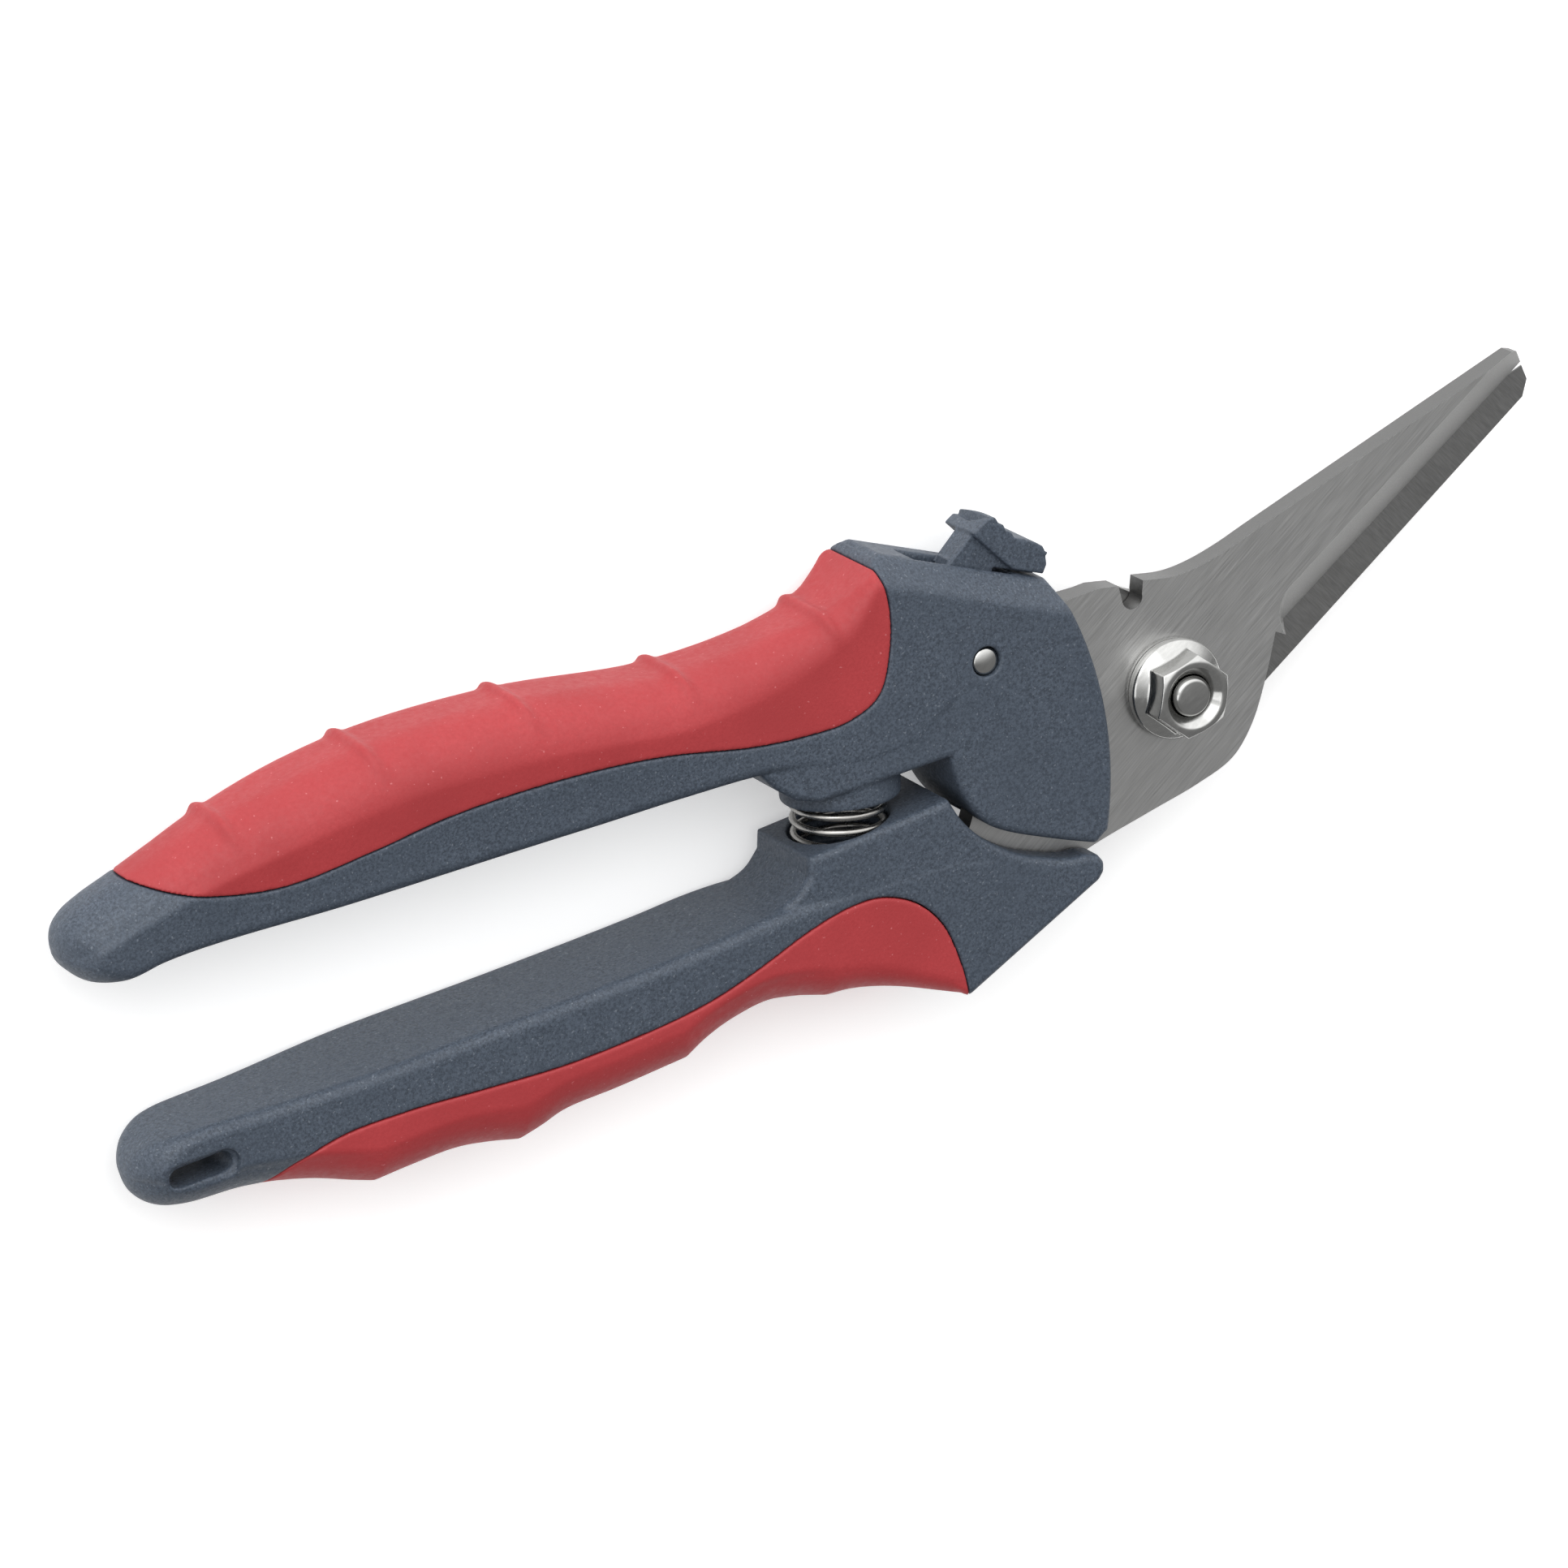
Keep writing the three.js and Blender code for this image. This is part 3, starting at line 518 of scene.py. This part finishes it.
UPPER_HEAD = [
    (-48, 16), (-42, 21), (-38, 27), (-36.6, 31.8), (-35.6, 33.2), (-34.6, 33.5), on_slope(12.8, 0),
    *arc((-57.4, 8.1), 44.5, 18, -23),
    *curve([
        (-18.4, -10.3), (-23.5, -7.5), (-29.3, -3.9), (-31.4, -1.9), (-32.9, 1.1), (-33.6, 4.2),
        (-33.7, 7.6),
    ]),
    (-50.8, 9.2), (-53.5, 10.6), (-55.6, 12.9), (-57.2, 15.6),
]
LOWER_HEAD = [
    (-39, -21.4), (-19.2, -14.8), (-18.3, -14), (-18, -12.9), (-18.5, -11.8),
    *curve([
        (-20, -11.1), (-22, -10.7), (-27.8, -7.7), (-30.6, -5.3), (-32.7, -2.9), (-34.3, 0), (-35.2, 2.8),
    ]),
    (-53.9, 3.4), *curve([(-54.6, 1.2), (-56.8, -0.4), (-61, -1.3)]), (-60.5, -6), (-50, -10),
]
UPPER_GRIP = [
    (-133.5, 50), (-133.3, 35),
    *curve([
        (-132.3, 34), (-126, 30.4), (-116.8, 27.6), (-105, 27.2), (-94, 27.2), (-79.8, 25.6), (-67.7, 23),
        (-57, 19.3), (-49.9, 17.6), (-44.6, 17.2), (-40.4, 18.6), (-37.6, 23.4), (-36.3, 28.7), (-36.5, 34),
    ]),
    (-38, 50),
]
LOWER_GRIP = [
    (-38.9, -30),
    *curve([
        (-38.9, -21.6), (-39.1, -15.7), (-40.1, -11), (-42.6, -7.3), (-46.5, -4.9), (-50.5, -4.3),
        (-57, -4.7), (-64, -5.9), (-70.5, -7), (-77, -7.3), (-89.6, -6.7), (-99.8, -5.2), (-109.9, -3.6),
        (-118, -3.3), (-124, -4.8), (-129.2, -8.4),
    ]),
    (-131, -30),
]

# ------------------------------------------------------------------ blade outlines
EDGE_LINE = {"front": ((13.6, 2.4), (53.6, 20.9)), "back": ((13.4, 12.2), (53.8, 20.3))}
FRONT_BLADE = [
    (53.6, 20.9), (52.5, 23.1), (51.6, 23.5),
    *curve([(13.3, 16.4), (8.6, 15.5), (4.5, 15.1), (1.1, 15.3), (-2.7, 16.4)]),
    *arc((-4.6, 14.9), 1.35, 0, -180, 16),
    *curve([(-5.95, 17), (-8.2, 17.7), (-10.5, 17.95), (-12.9, 18.1), (-17.6, 18.5)]),
    *curve([(-31.8, -3), (-33.6, -5.2), (-37, -5.6), (-52, -5.6), (-78, -5.4)]),
    *curve([(-78, -9.9), (-58, -10.4), (-48, -12.4), (-38, -18), (-34, -17.6)]),
    *curve([
        (-22.5, -13.4), (-18, -12.2), (-9, -11.2), (-2.1, -10.5), (3, -9.3), (6.4, -6.5), (9.5, -2),
        (12.4, 3.3),
    ]),
    (13.6, 2.4),
]
BACK_BLADE = [
    (53.8, 20.3), (13.4, 12.2),
    *curve([(10, 11.9), (2, 12), (-1.9, 13.4), (-4.8, 15.7)]),
    (-7.3, 16.5), (-9, 16.6), (-16, 17.6), on_slope(7, -4),
    *curve([on_slope(-6, -4.2), (-40, 28.4), (-48, 25.6), (-60, 26.4), (-80, 31)]),
    *curve([(-80, 25.6), (-60, 20.4), (-44, 13.2), (-37.6, 12.2)]),
    *curve([
        (-31.2, 9), (-28.6, 1.5), (-17, -6.4), (-8, -8.8), (0, -8.7), (6, -6.3), (11, -3.5),
    ]),
    (53, 16.5), (54.1, 18.4),
]


# ------------------------------------------------------------------ handles
def half_depth(x):
    """Half the thickness of a handle: thick at the fingers, thinner at the tail and the head."""
    tail = 6.3 * np.sqrt(1 - 0.62 * np.clip((-135.3 - x) / 6.1, 0, 1) ** 2)
    return tail + 2.3 * smooth(-136, -108, x) - 1.5 * smooth(-67, -49, x)


def handle_bar(block, outer, inner, closing, ridges, rounds, lean):
    """A handle's long bar. Small cross ridges on its outer edge fade out onto its faces."""
    plan = block.outline(outer + closing + inner[::-1])
    x, y = block.x, block.y
    outer_y = np.interp(x, *zip(*outer))
    inner_y = np.interp(x, *zip(*inner))
    across = np.clip((y - inner_y) / (outer_y - inner_y + 1e-6), 0, 1)
    half = half_depth(x)
    outer_round = np.interp(x, *rounds)
    inner_round = INNER_ROUND + 2.2 * (1 - smooth(-141, -133, x))
    radius = inner_round + (outer_round - inner_round) * smooth(0.3, 0.7, across)
    radius = np.minimum(radius, half * 0.93)
    tilt = lean * (1 - smooth(0.05, 0.75, across)) * smooth(-136, -120, x) * (1 - smooth(-70, -52, x))
    bar = rounded(plan, np.abs(block.z - MID) - half + tilt, radius)
    for at in ridges:
        lift = np.exp(-(((x - at + 0.12 * (y - outer_y)) / RIDGE_WIDTH) ** 2))
        fade = 1 - smooth(0.0, 5.5, np.abs(y - outer_y) + 0.35 * np.maximum(np.abs(block.z - MID) - 3, 0))
        bar = bar - RIDGE_HEIGHT * lift * fade
    return bar


def split(block, envelope, area, half=4.2):
    """Parts an envelope into its core and its grip, which wraps a rib of the core."""
    rib = both(envelope + SKIN, np.abs(block.z - MID) - half)
    rib = both(rib, np.maximum(-128 - block.x, block.x + 42))
    core = join(cut(envelope, area - SEAM, 0.2), rib)
    grip = cut(both(envelope, area + SEAM, 0.2), rib - FIT)
    return core, grip


def upper_handle():
    """The core and grip of the upper handle, with the spring's cup and the lock's rooms and slot."""
    block = Block((-141.8, -11.2, -0.8), (-12.0, 39.6, 17.8), HANDLE_STEP)
    x, y, z = block.x, block.y, block.z
    bar = handle_bar(
        block, UPPER_OUTER, UPPER_INNER, [(-33, 30), (-30, 14)], UPPER_RIDGES,
        ((-66, -50, -41, -37), (OUTER_ROUND, 5.0, 3.2, 1.2)), 0.6,
    )
    head = block.plate(UPPER_HEAD, HEAD, HEAD_ROUND)
    envelope = join(bar, head)
    # chamfers along both rims of the sloping top
    out = np.array(polar((0, 0), 1, SLOPE + 90))
    above = (x - SLOPE_AT[0]) * out[0] + (y - SLOPE_AT[1]) * out[1]
    chamfer = (np.abs(z - MID) - (HEAD[1] - MID) + above + CHAMFER) / math.sqrt(2)
    envelope = both(envelope, chamfer, 0.5)
    core, grip = split(block, envelope, block.outline(UPPER_GRIP))

    # the cup that holds the spring's upper end
    along = block.along_spring()
    wide, deep = CUP_R
    wall = (np.hypot((block.beside_spring() - CUP_OFFSET) / wide, (z - MID) / deep) - 1) * deep
    cup = both(rounded(wall, CUP_RIM - along, 0.5), y - 13)
    core = join(core, cup, 0.5)
    core = cut(core, both(block.coil_room(COIL_GAP), along - SPRING_ENDS[1] - WIRE_R - COIL_GAP), 0.3)

    # room for the front blade as it turns, for the lever and for its stem
    swing = [*arc(PIVOT, SWEEP_R, 60, 160), (-33.4, -3), (-38, -14), (-20, -40), (30, -40), (30, 20)]
    core = cut(core, block.plate(swing, SLOT), 0.3)
    top_slot = [on_slope(-5, -3.5), on_slope(8.4, -3.5), on_slope(8.4, 2), on_slope(-5, 2)]
    core = cut(core, block.plate(top_slot, (STEM[0] - 0.35, STEM[1] + 0.35)), 0.3)
    lever_above = [(-29.9, 15.6), on_slope(-5, 1), on_slope(8.4, 1), (-21, 17)]
    lever_below = [(-30.4, 17), (-32.2, 3.4), (-26, 3), (-22.4, 8), (-22, 17)]
    rooms = [block.plate(lever_above, SLOT), block.plate(lever_below, SLOT)]
    rooms.append(block.slab(block.upright(LOCK_AT, LOCK_HUB_R + 0.5), SLOT))
    for room in rooms:
        core = cut(core, room)
    pin = block.upright(LOCK_AT, LOCK_PIN_R + FIT)
    core = cut(core, pin, 0.25)

    tang = block.slab(block.outline(BACK_BLADE), BACK) - FIT
    core = cut(core, tang, 0.1)
    grip = cut(grip, tang)
    mesh = skin("upper_core_skin", block, core)
    add_piece("upper_core_skin", mesh, "upper", "nylon", [NYLON], "upper_handle_core")
    mesh = skin("upper_grip_skin", block, grip)
    add_piece("upper_grip_skin", mesh, "upper", "soft_grip", [RUBBER], "upper_grip")


def lower_handle():
    """The core and grip of the lower handle, with the spring's seat and the hang slot."""
    block = Block((-141.8, -22.2, -0.8), (-17.8, 6.2, 17.8), HANDLE_STEP)
    bar = handle_bar(
        block, LOWER_OUTER, LOWER_INNER, [(-36, -19.5), (-31, -14), (-31, -6)], (),
        ((-62, -39), (OUTER_ROUND, 2.0)), 0.0,
    )
    head = block.plate(LOWER_HEAD, HEAD, HEAD_ROUND)
    envelope = join(bar, head)
    core, grip = split(block, envelope, block.outline(LOWER_GRIP))

    below = SPRING_ENDS[0] - WIRE_R - COIL_GAP - block.along_spring()
    recess = both(block.coil_room(COIL_GAP), below)
    core = cut(core, recess, 0.3)
    for radius, floor in zip(HANG_SLOT_R, (0.0, 5.6)):
        ends = [*arc((-131.4, -1.1), radius, -90, 90, 12), *arc((-136.8, -0.8), radius, 90, 270, 12)]
        core = cut(core, both(block.outline(ends), floor - np.abs(block.z - MID)), 0.35)
    tang = block.slab(block.outline(FRONT_BLADE), FRONT) - FIT
    core = cut(core, tang, 0.1)
    grip = cut(grip, tang)
    mesh = skin("lower_core_skin", block, core)
    add_piece("lower_core_skin", mesh, "lower", "nylon", [NYLON], "lower_handle_core")
    mesh = skin("lower_grip_skin", block, grip)
    add_piece("lower_grip_skin", mesh, "lower", "soft_grip", [RUBBER], "lower_grip")


# ------------------------------------------------------------------ blades
def prism(points, heights):
    """An upright prism with the outline in plan."""
    mesh = bmesh.new()
    low = [mesh.verts.new(tuple(to_row((*p, heights[0])))) for p in points]
    high = [mesh.verts.new(tuple(to_row((*p, heights[1])))) for p in points]
    mesh.faces.new(low)
    mesh.faces.new(high)
    for i in range(len(points)):
        j = (i + 1) % len(points)
        mesh.faces.new((low[i], low[j], high[j], high[i]))
    bmesh.ops.recalc_face_normals(mesh, faces=mesh.faces)
    return mesh


def held(name, mesh):
    data = bpy.data.meshes.new(name)
    mesh.to_mesh(data)
    mesh.free()
    piece = bpy.data.objects.new(name, data)
    bpy.context.scene.collection.objects.link(piece)
    return piece


def baked(piece):
    """Applies a piece's modifiers."""
    graph = bpy.context.evaluated_depsgraph_get()
    mesh = bpy.data.meshes.new_from_object(piece.evaluated_get(graph))
    piece.modifiers.clear()
    piece.data = mesh
    return piece


def subtract(piece, *cutters):
    for cutter in cutters:
        step = piece.modifiers.new("cut", "BOOLEAN")
        step.operation = "DIFFERENCE"
        step.solver = "EXACT"
        step.object = cutter
    baked(piece)
    for cutter in cutters:
        bpy.data.objects.remove(cutter)


def grinder(ends, inner, side):
    """The space a grinding wheel clears along an edge: one long bevel with a curved runout at the heel."""
    heel, tip = (np.array(p) for p in ends)
    along = (tip - heel) / np.linalg.norm(tip - heel)
    up = np.array((-along[1], along[0])) * side
    corners = ((-6, -8), (60, -8), (60, 12), (-6, 12))
    mesh = prism([tuple(heel + a * along + b * up) for a, b in corners], (-3, 20))
    width, land, runout = 4.1, 0.2, 4.4
    outer = inner + side * BLADE
    for turn in range(10):
        angle = math.radians(10 * turn)
        rise = (BLADE - land) / width * (1 + 0.18 * turn)
        outward = math.cos(angle) * up - math.sin(angle) * along
        # where this plane meets the outer face: on an ellipse that ends at the heel
        at = heel + along * runout * (1 - math.sin(angle)) + up * width * math.cos(angle)
        normal = Vector((*(outward * rise), -side)).normalized()
        found = bmesh.ops.bisect_plane(
            mesh,
            geom=mesh.verts[:] + mesh.edges[:] + mesh.faces[:],
            plane_co=Vector(to_row((*at, outer))),
            plane_no=normal,
            clear_outer=True,
        )
        edges = [e for e in found["geom_cut"] if isinstance(e, bmesh.types.BMEdge)]
        if edges:
            bmesh.ops.edgeloop_fill(mesh, edges=edges)
    bmesh.ops.recalc_face_normals(mesh, faces=mesh.faces)
    return held("cutter", mesh)


def blade(name, outline, heights, holes, edge, side, body, finishes, node):
    """A blade with finishes for its face, its ground edge and its blanked edges, in that order; the last is
    a rough texture, and its dark colour is painted shade.
    """
    piece = held(name, prism(outline, heights))
    cutters = [held("cutter", prism(hole, THROUGH)) for hole in holes]
    cutters.append(grinder(edge, heights[0] if side > 0 else heights[1], side))
    subtract(piece, *cutters)
    for polygon in piece.data.polygons:
        level = abs(polygon.normal.z)
        polygon.material_index = 0 if level > 0.98 else 1 if level > 0.2 else 2
    piece.data.shade_smooth()
    # before the modifiers: afterwards it would undo their normals
    piece.data.set_sharp_from_angle(angle=math.radians(24))
    edges = piece.modifiers.new("edges", "BEVEL")
    edges.width = 0.00012
    edges.segments = 2
    edges.limit_method = "ANGLE"
    edges.angle_limit = math.radians(40)
    edges.use_clamp_overlap = True
    normals = piece.modifiers.new("normals", "WEIGHTED_NORMAL")
    normals.keep_sharp = True
    normals.weight = 100
    baked(piece)
    for material in finishes:
        piece.data.materials.append(material)
    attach(piece, body)
    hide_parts(node)


def circle(centre, radius, count=48):
    return arc(centre, radius, 0, 360 - 360 / count, count - 1)


def blades():
    notch = [(-30, 3.6), (-23.8, 3.6), (-23.8, 6.9), (-30, 6.9)]
    front_holes = [circle(PIVOT, BUSH_R + BORE_GAP), notch, circle((-44, -9), 1.5), circle((-66, -7.8), 1.5)]
    blade(
        "front_blade_ground", FRONT_BLADE, FRONT, front_holes, EDGE_LINE["front"], 1, "lower",
        [FACE_STEEL, BEVEL_STEEL, SHADED_EDGE_STEEL], "front_blade",
    )
    back_holes = [circle(PIVOT, SHANK_R + BORE_GAP), circle(LOCK_AT, LOCK_PIN_R + FIT)]
    back_holes += [circle((-45, 19.5), 1.5), circle((-68, 25.6), 1.5)]
    blade(
        "back_blade_ground", BACK_BLADE, BACK, back_holes, EDGE_LINE["back"], -1, "upper",
        [BACK_STEEL, BACK_STEEL, SHADED_EDGE_STEEL], "back_blade",
    )


# ------------------------------------------------------------------ pivot
def pivot():
    """The bolt and the washer under the nut."""
    head = (1.9, 4.9)
    bolt = eased(
        [
            (0, head[0]), (FLANGE_R - 1.6, head[0]), (FLANGE_R, head[0] + 1.4), (FLANGE_R, head[1]),
            (SHANK_R, head[1]), (SHANK_R, FRONT[1] - 0.1), (STUD_R, FRONT[1] + 0.4),
            (STUD_R, NUT_TOP - 0.75), (STUD_R - 0.4, NUT_TOP - 0.2), (0, NUT_TOP - 0.2),
        ],
        0.25,
    )
    mesh = turned("bolt", PIVOT, bolt)
    add_piece("pivot_bolt_turned", mesh, "upper", "bright_steel", [PLATED], "pivot_bolt")
    rim = (SHANK_R, FLANGE_R - 0.1)
    low, high = FRONT[1] + 0.05, FRONT[1] + 0.05 + WASHER
    ring = [(rim[0], low), (rim[1], low), (rim[1], high), (rim[0], high)]
    washer = eased(ring + ring[:2], 0.1)[1:-1]
    mesh = turned("washer", PIVOT, washer)
    add_piece("nut_washer_turned", mesh, "upper", "spring_steel", [WASHER_STEEL], "nut_washer")


def nut():
    """A flanged hexagon nut with a chamfered crown and a countersunk bore."""
    reach = FLANGE_R + 0.6
    low = (PIVOT[0] - reach, PIVOT[1] - reach, NUT_BASE - 0.6)
    high = (PIVOT[0] + reach, PIVOT[1] + reach, NUT_TOP + 0.5)
    block = Block(low, high, 0.08)
    radius = np.hypot(block.x - PIVOT[0], block.y - PIVOT[1])
    flats = NUT_FLATS / 2
    corner = NUT_FLATS / math.sqrt(3)
    sides = None
    for i in range(6):
        out = polar((0, 0), 1, NUT_TURN + 30 + 60 * i)
        flat = (block.x - PIVOT[0]) * out[0] + (block.y - PIVOT[1]) * out[1] - flats
        sides = flat if sides is None else both(sides, flat, 0.12)
    hexagon = both(sides, block.z - NUT_TOP, 0.1)
    crown = ((radius - corner + 0.75) * 1.1 + (block.z - NUT_TOP) * 1.75) / math.hypot(1.1, 1.75)
    hexagon = both(hexagon, crown, 0.1)
    disc = both(radius - FLANGE_R, block.z - (NUT_BASE + 0.75), 0.35)
    dome = (block.z - (NUT_BASE + 1.75)) * 0.92 + (radius - 4.7) * 0.62
    flange = join(disc, both(dome, radius - FLANGE_R + 0.05, 0.2), 0.3)
    solid = both(join(hexagon, flange, 0.25), NUT_BASE - block.z, 0.15)
    solid = cut(solid, radius - STUD_R - 0.1)
    sink = (radius - STUD_R - 1.15 - (block.z - NUT_TOP + 0.1)) / math.sqrt(2)
    solid = cut(solid, both(sink, NUT_TOP - 1.2 - block.z), 0.12)
    add_piece("pivot_nut_forged", skin("nut", block, solid), "upper", "bright_steel", [PLATED], "pivot_nut")


# ------------------------------------------------------------------ lock
def lock():
    """The lever: hub, arm and tooth inside the head, a neck and a stem through it, and the thumb piece."""
    block = Block((-34, 2.5, 4.4), (-12.5, 33, 13.2), 0.14)
    level = (FRONT[0] + 0.15, FRONT[1] - 0.2)
    hub = block.slab(block.upright(LOCK_AT, LOCK_HUB_R), level, 0.2)
    # the arm's outline where it stands when locked, turned back by the lock's travel
    arm_plan = []
    for x, y in ((-2.9, 0), (-2.1, -13.2), (2, -12.6), (2, -10.9), (0, -10.3), (2.9, -1)):
        angle = math.radians(-LOCK_TRAVEL)
        arm_plan.append((
            LOCK_AT[0] + x * math.cos(angle) - y * math.sin(angle),
            LOCK_AT[1] + x * math.sin(angle) + y * math.cos(angle),
        ))
    arm = block.plate(arm_plan, level, 0.15)
    neck_plan = [
        (-29, 17.4), on_slope(0, -2), on_slope(0, 0.4), on_slope(6, 0.4), on_slope(6, -2), (-23.4, 17.6),
    ]
    neck = block.plate(neck_plan, level, 0.1)
    web_plan = [(0, -0.6), (6, -0.6), (6, 0.25), (11.6, 0.25), (8.8, 1), (2.4, 4.2)]
    web = block.plate([on_slope(*p) for p in web_plan], STEM, 0.15)
    cap_plan = [
        (1.9, 4), (3.4, 5.95), (4.3, 6.15), (4.9, 5.55), (5.6, 5.45), (6.1, 4.85), (6.9, 4.75), (7.4, 4.2),
        (9, 4.15), (10.4, 4), (11.4, 3.7), (11.9, 3.15), (12.3, 3.05), (12.1, 2.6), (12.5, 1.7), (12.3, 0.5),
        (8.2, 0.5), (7.1, 1), (2.2, 3.6),
    ]
    cap = block.plate([on_slope(*p) for p in cap_plan], CAP, 0.25)
    # the far side of the cap is lower, with a step cut along its rear
    along, out = np.array(polar((0, 0), 1, SLOPE)), np.array(polar((0, 0), 1, SLOPE + 90))
    u = (block.x - SLOPE_AT[0]) * along[0] + (block.y - SLOPE_AT[1]) * along[1]
    v = (block.x - SLOPE_AT[0]) * out[0] + (block.y - SLOPE_AT[1]) * out[1]
    far = (CAP[1] - block.z) / (CAP[1] - CAP[0])
    cap = both(cap, v - 6.2 + 0.8 * far**2, 0.15)
    cap = both(cap, 1.9 + 0.6 * far**2 + 0.75 * (v - 4) - u, 0.15)
    step = both(u - 3.6 - 0.2 * far, 5.9 - 1.1 * smooth(0.0, 0.5, far) - v)
    cap = cut(cap, step, 0.1)
    lever = join(join(join(hub, arm, 0.3), neck, 0.3), join(web, cap, 0.4), 0.2)
    lever = cut(lever, block.upright(LOCK_AT, LOCK_PIN_R + 0.2))
    add_piece("lock_lever_moulded", skin("lock_lever", block, lever), "lock", "nylon", [NYLON], "lock_lever")


def lock_pin():
    """A pin through the upper head, level with its faces, with a domed end."""
    top, bottom = HEAD[1] - 0.6, HEAD[0] + 0.6
    dome = [(LOCK_PIN_R * math.cos(a), top + 0.6 * math.sin(a)) for a in np.linspace(0, math.pi / 2, 9)]
    profile = [
        (0, bottom - 0.6), (LOCK_PIN_R * 0.7, bottom - 0.45), (LOCK_PIN_R, bottom),
        *dome[:-1], (0, top + 0.6),
    ]
    mesh = turned("lock_pin", LOCK_AT, profile)
    add_piece("lock_pin_domed", mesh, "upper", "bright_steel", [PLATED], "lock_pin")


# ------------------------------------------------------------------ return spring
def return_spring():
    """A wire wound about the spring's leaning axis."""
    steps, sides = SPRING_TURNS * 48, 14
    t = np.linspace(0, 1, steps + 1)
    turn = np.radians(SPRING_START + 360 * SPRING_TURNS * t)
    up = np.array((math.sin(SPRING_LEAN), math.cos(SPRING_LEAN), 0))
    side = np.array((math.cos(SPRING_LEAN), -math.sin(SPRING_LEAN), 0))
    start = np.array((*SPRING_AT, MID))
    along = SPRING_ENDS[0] + (SPRING_ENDS[1] - SPRING_ENDS[0]) * t
    outward = np.cos(turn)[:, None] * side + np.sin(turn)[:, None] * np.array((0, 0, 1))
    path = start + along[:, None] * up + SPRING_R * outward
    points = []
    for i, (centre, out) in enumerate(zip(path, outward)):
        radius = WIRE_R * min(1.0, 0.55 + 0.45 * min(i, steps - i) / 2)
        for k in range(sides):
            a = 2 * math.pi * k / sides
            points.append(centre + radius * (math.cos(a) * out + math.sin(a) * up))
    faces = []
    for i in range(steps):
        for k in range(sides):
            m = (k + 1) % sides
            faces.append([i * sides + k, i * sides + m, (i + 1) * sides + m, (i + 1) * sides + k])
    faces.append(list(range(sides))[::-1])
    faces.append([steps * sides + k for k in range(sides)])
    mesh = mesh_of("return_spring", points, faces)
    spring = add_piece("return_spring_wound", mesh, None, "spring_steel", [WIRE], "return_spring")
    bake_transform(spring)


# ------------------------------------------------------------------ CAD nodes that stay
def carried_over():
    """Finishes for the hidden nodes that keep their CAD shape."""
    for node, material in (("pivot_bush", BRONZE), ("bolt_washer", WASHER_STEEL), ("lock_spring", WIRE)):
        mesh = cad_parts[node].data
        mesh.materials.clear()
        mesh.materials.append(material)


# ------------------------------------------------------------------ stage, light and camera
def stage():
    mesh = bmesh.new()
    bmesh.ops.create_grid(mesh, x_segments=8, y_segments=8, size=3.0)
    floor = held("floor", mesh)
    floor.location.z = -0.0002
    floor.data.materials.append(floor_finish())


def area_light(name, direction, distance, size, power):
    data = bpy.data.lights.new(name, "AREA")
    data.shape = "RECTANGLE"
    data.size, data.size_y = size
    data.energy = power
    light = bpy.data.objects.new(name, data)
    toward = Vector(direction).normalized()
    light.location = toward * distance
    light.rotation_euler = toward.to_track_quat("Z", "Y").to_euler()
    bpy.context.scene.collection.objects.link(light)


def lights():
    area_light("key", (-0.35, 0.85, 0.75), 1.3, (1.0, 0.7), 4.5)
    area_light("left", (-0.9, 0.1, 0.55), 1.2, (0.5, 0.8), 1.5)
    world = bpy.data.worlds.new("studio")
    bpy.context.scene.world = world
    world.use_nodes = True
    tree = world.node_tree
    sky = tree.nodes.new("ShaderNodeTexCoord").outputs["Generated"]
    toward = tree.nodes.new("ShaderNodeVectorMath")
    toward.operation = "DOT_PRODUCT"
    toward.inputs[1].default_value = Vector((0.15, 0.93, 0.3)).normalized()
    tree.links.new(sky, toward.inputs[0])
    ramp = tree.nodes.new("ShaderNodeMapRange")
    ramp.interpolation_type = "SMOOTHERSTEP"
    for socket, value in (("From Min", -0.2), ("From Max", 0.9), ("To Min", 0.27), ("To Max", 1.9)):
        ramp.inputs[socket].default_value = value
    tree.links.new(toward.outputs["Value"], ramp.inputs["Value"])
    background = tree.nodes["Background"]
    background.inputs[0].default_value = (1, 1, 1, 1)
    tree.links.new(ramp.outputs[0], background.inputs[1])


def camera():
    """Looks down at the front from the tails' side, through a long lens."""
    place, aim, roll = (-393.7, 397.8, 841.65), (-51.79, 10.21, MID), 118.753
    data = bpy.data.cameras.new("camera")
    data.lens = 195.65
    data.sensor_width = 36
    data.clip_start = 0.05
    data.clip_end = 20
    eye = bpy.data.objects.new("camera", data)
    facing = Vector(np.subtract(place, aim)).to_track_quat("Z", "Y").to_matrix().to_4x4()
    rolled = Matrix.Rotation(math.radians(roll), 4, "Z")
    eye.matrix_world = Matrix.Translation(Vector(to_row(place))) @ facing @ rolled
    bpy.context.scene.collection.objects.link(eye)
    bpy.context.scene.camera = eye
    bpy.context.scene.view_settings.view_transform = "Standard"


camera()
lights()
stage()
upper_handle()
lower_handle()
blades()
pivot()
nut()
lock()
lock_pin()
return_spring()
carried_over()
